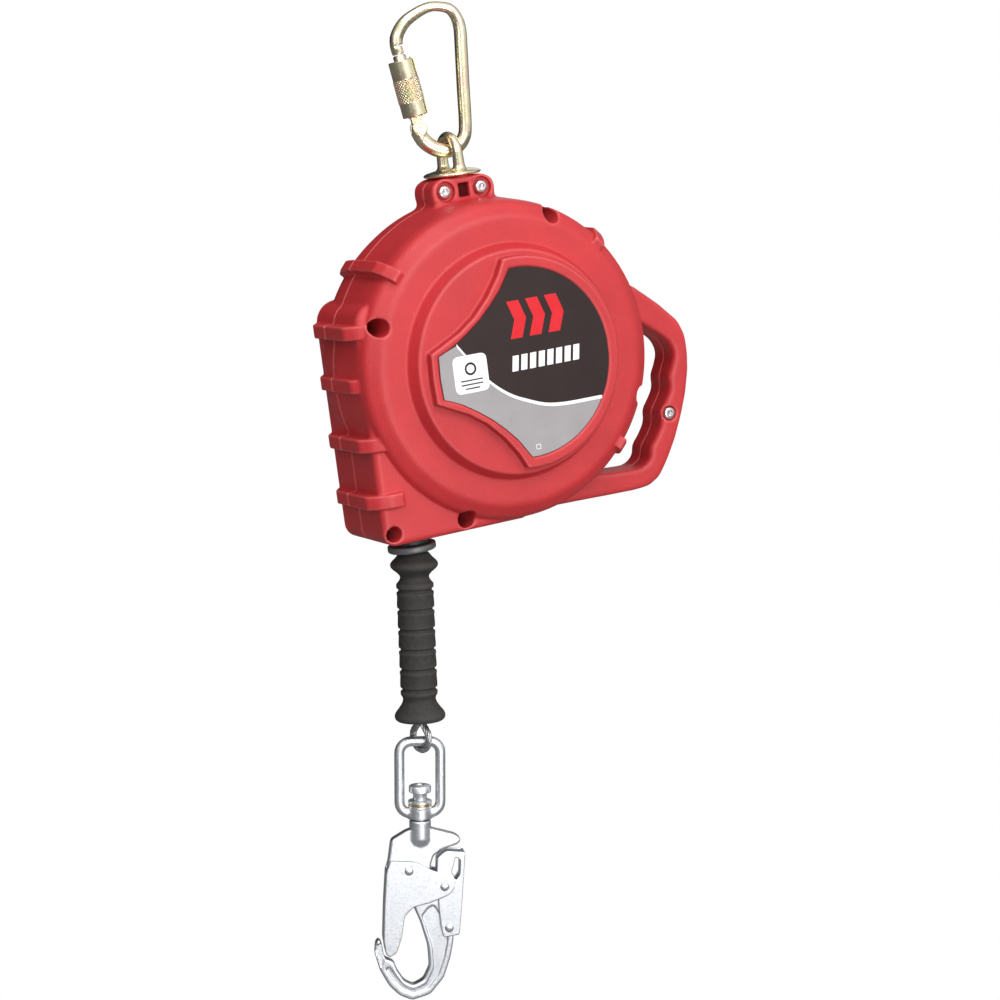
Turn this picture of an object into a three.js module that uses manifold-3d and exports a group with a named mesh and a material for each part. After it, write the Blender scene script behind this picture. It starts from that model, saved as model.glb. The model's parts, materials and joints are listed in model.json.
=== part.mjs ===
// Self retracting lifeline: a wire-rope fall arrester that hangs from a carabiner, with a
// two-part moulded housing, an internal cable drum, brake and spring, a carry handle, a
// rubber grip and a swivel snap hook.  Millimetres, +Z up, front of the housing towards -Y.
// The origin is the inside of the carabiner's crown, the point that the object hangs from.
import * as THREE from 'three';
import { mergeVertices } from 'three/addons/utils/BufferGeometryUtils.js';
import Module from 'manifold-3d';

const wasm = await Module();
wasm.setup();

// ---- driving dimensions -------------------------------------------------------------
const GAP = 0.3;                 // clearance between pieces that touch
const DEG = Math.PI / 180;

// housing, in its own frame: drum axis along Y through (0, 0), parting plane at y = 0
const HANG_Y = -1.4;             // the eye hangs where the carabiner's turned bow crosses it
const HOUSING_CENTRE = [34.3, HANG_Y, -260.5];
const HOUSING_TILT = 8.17 * DEG; // the housing hangs with its foot swung towards +X
const DRUM_R = 123.5;            // housing radius at the parting plane
const FRONT_Y = -54;             // flat ring of the front face
const LEAF_Y = -65;              // mid-level crescents
const PANEL_Y = -73;             // raised label panel
const REAR_Y = 40;
const WALL = 3.5;
const BOX_LEFT = -118;           // cable box on the left
const BOX_TOP = 60;
const BOX_FOOT = -122;
const BOX_FRONT_Y = -41;
const BOX_REAR_Y = 36;
const LUG = { left: -27.5, right: 19, top: 140, half: 17 };
const HANDLE_HALF = 17;
const SWIVEL_X = -4.5;           // swivel axis, parallel to the housing's Z
const COLLAR_X = -79.2;          // where the rope leaves the box, on the housing's foot

// screws of the housing, as [x, z] in its own frame
const SHELL_SCREWS = [[-104, 42], [49, 103.5], [110.5, -45.5], [-50, -112.5], [-110, -112.5]];
const COUNTERBORE_R = 6.5;
const SCREW_SEAT_Y = -14;        // where the screw heads sit, deep in their counterbores
const SHANK_R = 2.5;
const SHANK_HOLE_R = 2.9;
const HANDLE_SCREW = [151, -69.5];
const HANDLE_SEAT_Y = -HANDLE_HALF + 3;
const LUG_SCREWS_X = [SWIVEL_X - 15.4, SWIVEL_X + 15.4];
const LUG_SCREW_Z = 130.5;
const LUG_SEAT_Y = -LUG.half + 2.2;

// steel frame inside the housing
const FRAME_FRONT_Y = -44.5;     // front face of the front plate
const FRAME_REAR_Y = 27.5;       // front face of the rear plate
const FRAME_T = 3;
const FRAME_HALF_W = 19;
const BLOCK_HALF_Y = 9.3;        // the swivel block fills the lug between the two plates

// rope and drum
const ROPE_R = 2.4;
const DRUM_HALF = 22;            // half the distance between the drum flanges
const DRUM_FLANGE_R = 98;
const DRUM_CORE_R = 38.5;
const SHAFT_R = 8;
const SPRING_Y = [-38.5, -25];   // power spring and its arbor
const PAWL_PIVOT_R = 36.5;
const PAWL_PIN_R = 3;
const PAWL_YS = [-58, -53.3];
const RATCHET_R = 70;

// lifeline, hanging straight from the drum through the guide
const LINE_LEAN = 2.27 * DEG;    // the grip's foot leans towards +X
const GRIP_TOP = [-23.8, HANG_Y, -407.3];
const GRIP_LENGTH = 131;
const ROPE_ABOVE_GRIP = 140;
const LOOP_DROP = 156.5;         // from the grip's top to the lowest point of the rope loop
const LOOP_YAW = 13 * DEG;
const LOOP_R = 9.6;              // the rope loop's centre line where the ring hangs

// carabiner, as [u, w] in its own plane, which is turned by this yaw about Z
const CARABINER_YAW = -12 * DEG;
const CARABINER_BAR_R = 4.9;
const GATE_HINGE = [-16.2, -86.5];
const GATE_NOSE = [-31.2, -33];
const GATE_PIN_R = 2;
const SLEEVE = { from: 10, to: 48.5, outer: 10.2, inner: 6.4 };

// swivel eye
const FLANGE_Z = LUG.top + 0.6;
const FLANGE_R = 22;
const SPINDLE_R = 6;
const EYE_RISE = 12.9;           // height of the arch's centre above the flange
const EYE_YAW = 4 * DEG;
const EYE_SPREAD = 11.8;         // half the distance between the eye's legs
const EYE_BAR_R = 3.9;

// ring, swivel pin and snap hook
const HOOK_YAW = -20 * DEG;
const HOOK_ORIGIN = [-19.1, HANG_Y, -551.4];
const HOOK_HALF = 4.8;           // half thickness of the hook's body
const PLATE = 1.6;               // thickness of the hook's lever and gate plates
const RING = { half: 15.9, top: -3.2, foot: -59.8, bar: 3.9, corner: 9 };
const GATE_RIVET = [-9.5, -103.3];
const TAIL_RIVET = [18.1, -116.6];
const LEVER_RIVET = [21.9, -149.8];
const RIVET_HOLE_R = 2.7;

// ---- materials ----------------------------------------------------------------------
const paint = (color, roughness, metalness) =>
  new THREE.MeshStandardMaterial({ color, roughness, metalness });
const RED = paint(0xb81f2a, 0.5, 0);
const GOLD = paint(0xd9c58a, 0.3, 0.9);
const STEEL = paint(0xb4b6ba, 0.35, 0.9);
const HOOK_STEEL = paint(0xb9bec4, 0.45, 0.85);
const DARK_STEEL = paint(0x55565a, 0.45, 0.8);
const BLACK_RUBBER = paint(0x2c2a29, 0.75, 0);
const LABEL = paint(0x3a3230, 0.35, 0);
const BLACK_PLASTIC = paint(0x333336, 0.5, 0);
const BRASS = paint(0xb08d45, 0.35, 0.9);
const ALUMINIUM = paint(0xc0c2c6, 0.4, 0.9);

// ---- solids -------------------------------------------------------------------------
// A closed mesh as a manifold-3d solid, with shared vertices merged and slivers dropped.
function solid(geometry) {
  const bare = geometry.clone();
  bare.deleteAttribute('normal');
  bare.deleteAttribute('uv');
  const merged = mergeVertices(bare, 1e-4);
  const index = merged.index.array;
  const kept = [];
  for (let i = 0; i < index.length; i += 3) {
    const [a, b, c] = [index[i], index[i + 1], index[i + 2]];
    if (a !== b && b !== c && a !== c) kept.push(a, b, c);
  }
  return new wasm.Manifold(new wasm.Mesh({
    numProp: 3,
    vertProperties: Float32Array.from(merged.attributes.position.array),
    triVerts: Uint32Array.from(kept),
  }));
}

function geometryOf(manifold) {
  const data = manifold.getMesh();
  const geometry = new THREE.BufferGeometry();
  geometry.setAttribute('position', new THREE.BufferAttribute(data.vertProperties, 3));
  geometry.setIndex(new THREE.BufferAttribute(data.triVerts, 1));
  return geometry;
}

const join = (...geometries) => geometries.map(solid).reduce((a, b) => a.add(b));
const cut = (body, ...tools) => tools.map(solid).reduce((a, b) => a.subtract(b), body);

// ---- shape helpers ------------------------------------------------------------------
// An outline in X and Z, as a Shape.
function outline(points) {
  return new THREE.Shape(points.map(([x, z]) => new THREE.Vector2(x, z)));
}

// A plate: an X-Z outline that reaches from y0 to y1, with an optional rounded edge.
function plate(shape, y0, y1, bevel = 0, steps = 2) {
  const geometry = new THREE.ExtrudeGeometry(shape, {
    depth: y1 - y0 - 2 * bevel,
    bevelEnabled: bevel > 0,
    bevelThickness: bevel,
    bevelSize: bevel,
    bevelOffset: -bevel,
    bevelSegments: steps,
    curveSegments: 12,
  });
  geometry.rotateX(Math.PI / 2);
  geometry.translate(0, y1 - bevel, 0);
  return geometry;
}

// A block between two corners.
function block(low, high) {
  const size = low.map((value, i) => high[i] - value);
  const geometry = new THREE.BoxGeometry(...size);
  geometry.translate(...low.map((value, i) => value + size[i] / 2));
  return geometry;
}

// A turned piece about the Y axis through (x, z); profile points are [radius, y].
function turnedY(profile, x = 0, z = 0, sides = 32) {
  const points = profile.map(([r, y]) => new THREE.Vector2(r, y));
  const geometry = new THREE.LatheGeometry(points, sides);
  if (signedArea(profile) < 0) flip(geometry);
  geometry.translate(x, 0, z);
  return geometry;
}

// A turned piece about a line parallel to Z; profile points are [radius, z].
function turnedZ(profile, x = 0, y = 0, sides = 24) {
  const geometry = turnedY(profile, 0, 0, sides);
  geometry.rotateX(Math.PI / 2);
  geometry.translate(x, y, 0);
  return geometry;
}

function signedArea(profile) {
  return profile.reduce((sum, [r, y], i) => {
    const [r2, y2] = profile[(i + 1) % profile.length];
    return sum + r * y2 - r2 * y;
  }, 0);
}

function flip(geometry) {
  const index = geometry.index.array;
  for (let i = 0; i < index.length; i += 3) {
    [index[i], index[i + 1]] = [index[i + 1], index[i]];
  }
}

const rod = (r, y0, y1) => [[0, y0], [r, y0], [r, y1], [0, y1]];
const tube = (inner, outer, y0, y1) => [
  [inner, y0], [outer, y0], [outer, y1], [inner, y1], [inner, y0],
];

// Points on an arc about (cx, cz), from angle a0 to a1 in degrees.
function arc(cx, cz, r, a0, a1, steps) {
  return Array.from({ length: steps + 1 }, (_, i) => {
    const a = (a0 + (a1 - a0) * i / steps) * DEG;
    return [cx + r * Math.cos(a), cz + r * Math.sin(a)];
  });
}

// A smooth curve through 2-D points, sampled again.
function smooth(points, count, closed = false) {
  const nodes = points.map(([x, z]) => new THREE.Vector3(x, 0, z));
  const curve = new THREE.CatmullRomCurve3(nodes, closed);
  const samples = curve.getSpacedPoints(count);
  if (closed) samples.pop();
  return samples.map((p) => [p.x, p.z]);
}

// A round bar along points in space.  Closed bars join up; open ones have flat ends.
// The section stays square to the path and keeps one side along the given normal.
function bar(points, radius, { closed = false, sides = 10, normal = [0, 1, 0] } = {}) {
  const path = points.map((p) => new THREE.Vector3(...p));
  const count = path.length;
  const fixed = new THREE.Vector3(...normal);
  const positions = [];
  for (let i = 0; i < count; i += 1) {
    const before = path[closed ? (i + count - 1) % count : Math.max(i - 1, 0)];
    const after = path[closed ? (i + 1) % count : Math.min(i + 1, count - 1)];
    const along = after.clone().sub(before).normalize();
    const side = new THREE.Vector3().crossVectors(along, fixed).normalize();
    const up = new THREE.Vector3().crossVectors(side, along);
    for (let k = 0; k < sides; k += 1) {
      const a = 2 * Math.PI * k / sides;
      const p = path[i].clone()
        .addScaledVector(side, radius * Math.cos(a))
        .addScaledVector(up, radius * Math.sin(a));
      positions.push(p.x, p.y, p.z);
    }
  }
  const index = [];
  const rings = closed ? count : count - 1;
  for (let i = 0; i < rings; i += 1) {
    for (let k = 0; k < sides; k += 1) {
      const a = i * sides + k;
      const b = i * sides + (k + 1) % sides;
      const c = ((i + 1) % count) * sides + k;
      const d = ((i + 1) % count) * sides + (k + 1) % sides;
      index.push(a, b, c, b, d, c);
    }
  }
  if (!closed) {
    for (let k = 1; k < sides - 1; k += 1) {
      const last = (count - 1) * sides;
      index.push(0, k + 1, k, last, last + k, last + k + 1);
    }
  }
  const geometry = new THREE.BufferGeometry();
  geometry.setAttribute('position', new THREE.Float32BufferAttribute(positions, 3));
  geometry.setIndex(index);
  return volume(geometry) < 0 ? flipped(geometry) : geometry;
}

function volume(geometry) {
  const p = geometry.attributes.position;
  const index = geometry.index.array;
  const [a, b, c] = [new THREE.Vector3(), new THREE.Vector3(), new THREE.Vector3()];
  let sum = 0;
  for (let i = 0; i < index.length; i += 3) {
    a.fromBufferAttribute(p, index[i]);
    b.fromBufferAttribute(p, index[i + 1]);
    c.fromBufferAttribute(p, index[i + 2]);
    sum += a.dot(b.cross(c)) / 6;
  }
  return sum;
}

function flipped(geometry) {
  flip(geometry);
  return geometry;
}

// ---- scene graph --------------------------------------------------------------------
const group = new THREE.Group();

function frameAt(position, yaw = 0, tilt = 0) {
  const frame = new THREE.Group();
  frame.position.set(...position);
  frame.rotation.set(0, tilt, yaw, 'ZYX');
  group.add(frame);
  return frame;
}

function add(parent, name, shape, material) {
  const geometry = shape.isBufferGeometry ? shape : geometryOf(shape);
  const mesh = new THREE.Mesh(geometry, material);
  mesh.name = name;
  parent.add(mesh);
  return mesh;
}

const housing = frameAt(HOUSING_CENTRE, 0, -HOUSING_TILT);

// ---- housing shells -----------------------------------------------------------------
// Outside of the moulded drum, without the box, lug and handle.
const DRUM_PROFILE = [
  [0, FRONT_Y], [107, FRONT_Y], [114, -51.5], [119, -46.5], [120.8, -39], [DRUM_R, 0],
  [122, 18], [118, 30], [110, 37.5], [100, REAR_Y], [0, REAR_Y],
];
const BOSS_PROFILE = [[0, LEAF_Y], [83.6, LEAF_Y], [88.5, FRONT_Y], [88.5, FRONT_Y + 1], [0, FRONT_Y + 1]];

// Raised panel: an arc of the round boss with a concave curve above and below on the left.
function panelOutline(inset) {
  const r = 80 - inset;
  const concave = [[-76.5, 19.3], [-50, 31.5], [-24.3, 53]].map(([x, z]) => [x + inset, z]);
  const upper = smooth([...concave, [-7.5 + inset, 79 - inset]], 5);
  const lower = upper.map(([x, z]) => [x, -z]).reverse();
  const tip = Math.atan2(upper[5][1], upper[5][0]) / DEG;
  return [...upper, ...arc(0, 0, r, tip, -tip, 16).slice(1, -1), ...lower];
}

function boxOutline(inset) {
  const left = BOX_LEFT + inset;
  const foot = BOX_FOOT + inset;
  const head = 17 - inset;
  const heel = 12 - inset;
  return [
    [-20, foot], [-20, BOX_TOP - inset],
    ...arc(left + head, BOX_TOP - inset - head, head, 90, 180, 3),
    ...arc(left + heel, foot + heel, heel, 180, 270, 3),
  ];
}

function lugOutline() {
  const r = 8;
  return [
    [LUG.left - 12, 108], [LUG.right + 14, 108], [LUG.right + 4, 119], [LUG.right, 125],
    ...arc(LUG.right - r, LUG.top - r, r, 0, 90, 3),
    ...arc(LUG.left + r, LUG.top - r, r, 90, 180, 3),
    [LUG.left, 125], [LUG.left - 4, 119],
  ];
}

const HANDLE_OUTER = [
  [96, 48], [131, 36], [153, 17], [169, 2], [174, -10], [174.6, -24], [173.2, -38], [168.7, -56],
  [162.7, -72], [154.5, -90], [145, -106], [136, -118], [126, -123.5], [112, -124.5], [30, -122.5],
  [30, -108],
];
// Finger scallops run down the inner edge of the grip.
const HANDLE_INNER = [
  [112, 20], [136.5, 4], [148, -4.5], [158.5, -13], [162.5, -24], [158.5, -34], [154.5, -41],
  [155, -51], [149.5, -59.5], [143.5, -67], [143.5, -77], [137, -86.5], [130.5, -93.5], [129.5, -102],
  [121, -108], [108, -107.5], [84, -105.5], [60, -100],
];

// A rib wraps around the side of the housing from the front bevel to the back.
function boxRib(z) {
  const points = [[-99, BOX_FRONT_Y + 1], [-101, BOX_FRONT_Y - 4], [-110, BOX_FRONT_Y - 4], [-119, -41],
    [-126, -33], [-126, 22], [-118, 33], [-99, 38]];
  const shape = new THREE.Shape(points.map(([x, y]) => new THREE.Vector2(x, y)));
  const geometry = new THREE.ExtrudeGeometry(shape, { depth: 10.5, bevelEnabled: false });
  geometry.translate(0, 0, z - 5.25);
  return geometry;
}

function drumRib(angle, proud) {
  const r = DRUM_R + proud;
  const points = [[110, -50], [115, -54], [r - 6, -47], [r - 1.5, -38], [r, 0], [r - 2, 20],
    [r - 8, 33], [110, 36]];
  const shape = new THREE.Shape(points.map(([x, y]) => new THREE.Vector2(x, y)));
  const geometry = new THREE.ExtrudeGeometry(shape, { depth: 9.5, bevelEnabled: false });
  geometry.translate(0, 0, -4.75);
  geometry.rotateY(-angle * DEG);
  return geometry;
}

function housingSolid() {
  const panel = plate(outline(panelOutline(0)), PANEL_Y, LEAF_Y + 2, 1.2, 1);
  const box = plate(outline(boxOutline(0)), BOX_FRONT_Y, BOX_REAR_Y, 9, 2);
  const lug = plate(outline(lugOutline()), -LUG.half, LUG.half, 2.5, 1);
  const handleBar = plate(outline(HANDLE_OUTER), -HANDLE_HALF, HANDLE_HALF, 4, 1);
  const fingerHole = plate(outline(HANDLE_INNER), -HANDLE_HALF - 1, HANDLE_HALF + 1);
  const handle = cut(solid(handleBar), fingerHole);
  const rest = join(
    turnedY(DRUM_PROFILE, 0, 0, 40), turnedY(BOSS_PROFILE, 0, 0, 40), panel, box, lug,
    ...[40, 0.5, -44, -87].map(boxRib),
    drumRib(138, 6.5), drumRib(42, 4), drumRib(-43, 4),
  );
  return rest.add(handle);
}

function housingCavity() {
  const drum = turnedY([
    [0, -61.5], [80, -61.5], [82.5, FRONT_Y + WALL], [106, FRONT_Y + WALL], [115, -44], [118.8, 0],
    [117.5, 17], [107, 33], [99, REAR_Y - WALL], [0, REAR_Y - WALL],
  ], 0, 0, 24);
  const box = plate(outline(boxOutline(WALL)), BOX_FRONT_Y + WALL, BOX_REAR_Y - WALL, 6, 1);
  const lugLow = [LUG.left + WALL, -LUG.half + WALL, 90];
  const lug = block(lugLow, [LUG.right - WALL, LUG.half - WALL, LUG.top - WALL]);
  return join(drum, box, lug);
}

function shellHoles() {
  const spindle = turnedZ(rod(SPINDLE_R + 2, LUG.top - 8, LUG.top + 5), SWIVEL_X, 0);
  const windowHigh = [SWIVEL_X + 4.5, -LUG.half + WALL + 1, 135];
  const window = block([SWIVEL_X - 4.5, -LUG.half - 1, 124], windowHigh);
  const shank = rod(3.3, -LUG.half - 1, LUG.half + 1);
  const lugScrews = LUG_SCREWS_X.map((x) => turnedY(shank, x, LUG_SCREW_Z, 12));
  const bore = rod(7.5, -LUG.half - 4, LUG_SEAT_Y);
  const lugBores = LUG_SCREWS_X.map((x) => turnedY(bore, x, LUG_SCREW_Z, 16));
  const exit = turnedZ(rod(14.8, BOX_FOOT - 6, BOX_FOOT + 8), COLLAR_X, 0, 24);
  const labelBed = plate(outline(panelOutline(7)), PANEL_Y - 1, PANEL_Y + 1.2);
  return [spindle, window, ...lugScrews, ...lugBores, exit, labelBed];
}

function screwBoss([x, z], y0, y1) {
  return turnedY(rod(COUNTERBORE_R + 3, y0, y1), x, z, 10);
}

function buildShells() {
  const outside = housingSolid();
  const cavity = housingCavity();
  const bosses = SHELL_SCREWS.map((at) => screwBoss(at, BOX_FRONT_Y + 1, BOX_REAR_Y - 2));
  const inside = bosses.reduce((body, boss) => body.subtract(solid(boss)), cavity);
  let body = cut(outside.subtract(inside), ...shellHoles());
  const bore = rod(COUNTERBORE_R, -70, SCREW_SEAT_Y);
  const bores = SHELL_SCREWS.map(([x, z]) => turnedY(bore, x, z, 12));
  const shank = rod(SHANK_HOLE_R, SCREW_SEAT_Y - 1, 25);
  const shanks = SHELL_SCREWS.map(([x, z]) => turnedY(shank, x, z, 8));
  const handleBore = turnedY(rod(5.6, -30, HANDLE_SEAT_Y), ...HANDLE_SCREW, 16);
  const handleShank = turnedY(rod(SHANK_HOLE_R, -20, 12), ...HANDLE_SCREW, 8);
  body = cut(body, ...bores, ...shanks, handleBore, handleShank);
  const front = solid(block([-300, -200, -300], [300, -GAP / 2, 300]));
  const rear = solid(block([-300, GAP / 2, -300], [300, 200, 300]));
  add(housing, 'front_shell', body.intersect(front), RED);
  add(housing, 'rear_shell', body.intersect(rear), RED);
}

function buildLabel() {
  const face = plate(outline(panelOutline(7.4)), PANEL_Y + 0.2, PANEL_Y + 0.9);
  add(housing, 'front_label', face, LABEL);
}

// ---- fasteners of the housing -------------------------------------------------------
function socketScrew(x, z, seat, tip, headR, headH) {
  const top = seat - headH;
  const profile = [[0, top], [headR - 0.8, top], [headR, top + 1], [headR, seat], [SHANK_R, seat],
    [SHANK_R, tip], [0, tip]];
  const socket = turnedY(rod(1.9, top - 1, top + 1.8), x, z, 6);
  return cut(solid(turnedY(profile, x, z, 10)), socket);
}

function buildScrews() {
  SHELL_SCREWS.forEach(([x, z], i) => {
    const screw = socketScrew(x, z, SCREW_SEAT_Y - GAP, 22, 4.6, 4);
    add(housing, `shell_screw_${i + 1}`, screw, STEEL);
  });
  add(housing, 'handle_screw', socketScrew(...HANDLE_SCREW, HANDLE_SEAT_Y - GAP, 10, 5, 3), STEEL);
  LUG_SCREWS_X.forEach((x, i) => {
    const name = i === 0 ? 'lug_screw_left' : 'lug_screw_right';
    const screw = socketScrew(x, LUG_SCREW_Z, LUG_SEAT_Y - GAP, LUG.half - 1, 5.2, 3.4);
    add(housing, name, screw, STEEL);
  });
}

// ---- frame inside the housing -------------------------------------------------------
// A cranked steel strip: beside the drum it stands clear, in the lug it closes on the block.
function framePlate(near, side) {
  const lug = side * (BLOCK_HALF_Y + GAP);
  const t = side * FRAME_T;
  const strip = [[lug, 135], [lug, 113], [near, 92], [near, -52], [near + t, -52], [near + t, 93],
    [lug + t, 114.5], [lug + t, 135]];
  const shape = new THREE.Shape(strip.map(([y, z]) => new THREE.Vector2(y, z)));
  const geometry = new THREE.ExtrudeGeometry(shape, { depth: 2 * FRAME_HALF_W, bevelEnabled: false });
  geometry.rotateX(Math.PI / 2);
  geometry.rotateZ(Math.PI / 2);
  geometry.translate(SWIVEL_X - FRAME_HALF_W, 0, 0);
  const holes = LUG_SCREWS_X.map((x) => turnedY(rod(SHANK_HOLE_R, -60, 60), x, LUG_SCREW_Z, 12));
  return cut(solid(geometry), ...holes, turnedY(rod(12.3, -60, 60), 0, 0, 24));
}

function buildFrame() {
  add(housing, 'frame_plate_front', framePlate(FRAME_FRONT_Y + FRAME_T, -1), STEEL);
  add(housing, 'frame_plate_rear', framePlate(FRAME_REAR_Y, 1), STEEL);
  const holes = LUG_SCREWS_X.map((x) => turnedY(rod(SHANK_HOLE_R, -20, 20), x, LUG_SCREW_Z, 12));
  const bore = turnedZ(rod(SPINDLE_R + 0.4, 100, 150), SWIVEL_X, 0);
  const low = [SWIVEL_X - FRAME_HALF_W, -BLOCK_HALF_Y, 120.5];
  const body = solid(block(low, [SWIVEL_X + FRAME_HALF_W, BLOCK_HALF_Y, 135.5]));
  add(housing, 'swivel_block', cut(body, ...holes, bore), STEEL);
  const front = tube(SHAFT_R + 0.05, 12, FRAME_FRONT_Y - 0.5, FRAME_FRONT_Y + FRAME_T + 0.5);
  add(housing, 'shaft_bush_front', turnedY(front), BRASS);
  const rear = tube(SHAFT_R + 0.05, 12, FRAME_REAR_Y - 0.5, FRAME_REAR_Y + FRAME_T + 0.5);
  add(housing, 'shaft_bush_rear', turnedY(rear), BRASS);
}

// ---- drum, spring and brake ---------------------------------------------------------
const LINE_DIR = lineDirection();
const WINDING_R = windingRadius();

function lineDirection() {
  return new THREE.Vector3(Math.sin(LINE_LEAN), 0, -Math.cos(LINE_LEAN));
}

// The rope leaves the drum on a tangent, so the winding's radius is the line's distance
// from the drum axis.
function windingRadius() {
  const dx = GRIP_TOP[0] - HOUSING_CENTRE[0];
  const dz = GRIP_TOP[2] - HOUSING_CENTRE[2];
  return Math.abs(dx * LINE_DIR.z - dz * LINE_DIR.x);
}

function drumGeometry() {
  const h = DRUM_HALF;
  const core = DRUM_CORE_R;
  return turnedY([
    [SHAFT_R + GAP, -h], [DRUM_FLANGE_R, -h], [DRUM_FLANGE_R, -h + 2], [core, -h + 2], [core, h - 2],
    [DRUM_FLANGE_R, h - 2], [DRUM_FLANGE_R, h], [SHAFT_R + GAP, h], [SHAFT_R + GAP, -h],
  ], 0, 0, 32);
}

function windingGeometry() {
  const outer = WINDING_R - ROPE_R - 2 * GAP;
  return turnedY(tube(DRUM_CORE_R + GAP, outer, -DRUM_HALF + 2 + GAP, DRUM_HALF - 2 - GAP), 0, 0, 28);
}

// A flat strip wound into a loose spiral.
function springShape() {
  const turns = 3.5;
  const steps = 42;
  const strip = (offset) => Array.from({ length: steps + 1 }, (_, i) => {
    const a = 2 * Math.PI * turns * i / steps;
    const r = 16 + 42 * i / steps + offset;
    return [r * Math.cos(a), r * Math.sin(a)];
  });
  return outline([...strip(2.2), ...strip(-2.2).reverse()]);
}

// An internally toothed ring with a back plate, bolted to the frame's front plate.
function ratchetRing() {
  const teeth = 8;
  const points = [];
  for (let i = 0; i < teeth; i += 1) {
    const a = 360 * i / teeth - 8;
    points.push(...arc(0, 0, 58, a, a + 4, 1), ...arc(0, 0, 64, a + 6, a + 30, 2));
  }
  const rim = turnedY(rod(RATCHET_R, -60.5, -49.5), 0, 0, 32);
  const back = turnedY(tube(14, RATCHET_R, -49.5, -46), 0, 0, 32);
  const well = plate(outline(points), -61, -49.5);
  return solid(back).add(cut(solid(rim), well));
}

function pawlOutline() {
  return [[-6, -5], [2, -6.5], [9, -1], [13, 9], [15.5, 17], [12.5, 18.5], [4, 10], [-5, 5.5]];
}

function buildDrum() {
  add(housing, 'main_shaft', turnedY([
    [0, -59], [SHAFT_R - 1, -59], [SHAFT_R, -58], [SHAFT_R, 33], [SHAFT_R - 1, 34], [0, 34],
  ], 0, 0, 24), STEEL);
  add(housing, 'drum', drumGeometry(), ALUMINIUM);
  add(housing, 'cable_winding', windingGeometry(), STEEL);
  add(housing, 'power_spring', plate(springShape(), ...SPRING_Y), DARK_STEEL);
  const cup = [[20, -41.2], [64, -41.2], [64, -23], [62.4, -23], [62.4, -39.4], [20, -39.4],
    [20, -41.2]];
  add(housing, 'spring_cup', turnedY(cup, 0, 0, 24), DARK_STEEL);
  const arbor = turnedY(tube(SHAFT_R + GAP, 13.4, ...SPRING_Y), 0, 0, 16);
  add(housing, 'spring_arbor', arbor, STEEL);
  add(housing, 'ratchet_ring', ratchetRing(), DARK_STEEL);
  const hub = turnedY(tube(SHAFT_R + GAP, 42, -53, -50), 0, 0, 24);
  const pins = [0, 180].map((a) => turnedY(rod(PAWL_PIN_R, -58.5, -52), ...pawlPivot(a), 12));
  add(housing, 'brake_hub', join(hub, ...pins), STEEL);
  [0, 180].forEach((a, i) => add(housing, `brake_pawl_${i + 1}`, pawl(a), DARK_STEEL));
}

function pawlPivot(angle) {
  return [PAWL_PIVOT_R * Math.cos(angle * DEG), PAWL_PIVOT_R * Math.sin(angle * DEG)];
}

function pawl(angle) {
  const hole = turnedY(rod(PAWL_PIN_R + 0.25, -70, -40), 0, 0, 12);
  const body = cut(solid(plate(outline(pawlOutline()), ...PAWL_YS)), hole);
  const geometry = geometryOf(body);
  geometry.rotateY(-(angle + 4) * DEG);
  const [x, z] = pawlPivot(angle);
  geometry.translate(x, 0, z);
  return geometry;
}

// ---- rope guide and collar at the box's foot ----------------------------------------
function buildGuide() {
  const guide = turnedZ([
    [6.5, -112], [14.4, -112], [14.4, -129], [5.2, -129], [5.2, -124], [6.5, -112],
  ], COLLAR_X, 0);
  add(housing, 'cable_guide', guide, BLACK_PLASTIC);
  const collar = turnedZ([
    [7, -129.3], [15.2, -129.3], [18.6, -130.2], [18.6, -134.4], [17.8, -135.2], [7, -135.2],
    [7, -129.3],
  ], COLLAR_X, 0, 24);
  add(housing, 'cable_collar', collar, DARK_STEEL);
}

// ---- swivel eye ---------------------------------------------------------------------
function eyeGeometry() {
  const foot = FLANGE_Z + 2;
  const centre = FLANGE_Z + 4.5 + EYE_RISE;
  const arch = arc(0, centre, EYE_SPREAD, 0, 180, 8);
  const path = [[EYE_SPREAD, foot], ...arch, [-EYE_SPREAD, foot]];
  const legs = bar(path.map(([v, z]) => [0, v, z]), EYE_BAR_R, { sides: 10, normal: [1, 0, 0] });
  legs.rotateZ(EYE_YAW);
  const turned = turnedZ([
    [0, 104], [SPINDLE_R, 104], [SPINDLE_R, FLANGE_Z], [FLANGE_R - 1, FLANGE_Z],
    [FLANGE_R, FLANGE_Z + 1.2],
    [FLANGE_R - 1, FLANGE_Z + 3.2], [FLANGE_R - 5, FLANGE_Z + 4.5], [0, FLANGE_Z + 4.5],
  ], 0, 0, 24);
  return geometryOf(join(legs, turned)).translate(SWIVEL_X, 0, 0);
}

function buildEye() {
  add(housing, 'swivel_eye', eyeGeometry(), GOLD);
  const washer = turnedZ(tube(SPINDLE_R + 0.4, 9.2, 118, 120), SWIVEL_X, 0, 16);
  add(housing, 'thrust_washer', washer, BRASS);
  const hexagon = solid(turnedZ(rod(9.2, 106, 117.7), SWIVEL_X, 0, 6));
  const nutBore = turnedZ(rod(SPINDLE_R + GAP, 100, 120), SWIVEL_X, 0, 16);
  add(housing, 'swivel_nut', cut(hexagon, nutBore), STEEL);
}

// ---- carabiner ----------------------------------------------------------------------
const carabiner = frameAt([0, 0, 0], CARABINER_YAW);
const GATE_TURN = Math.atan2(GATE_NOSE[0] - GATE_HINGE[0], GATE_NOSE[1] - GATE_HINGE[1]);
const GATE_LENGTH = Math.hypot(GATE_NOSE[0] - GATE_HINGE[0], GATE_NOSE[1] - GATE_HINGE[1]);

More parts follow.
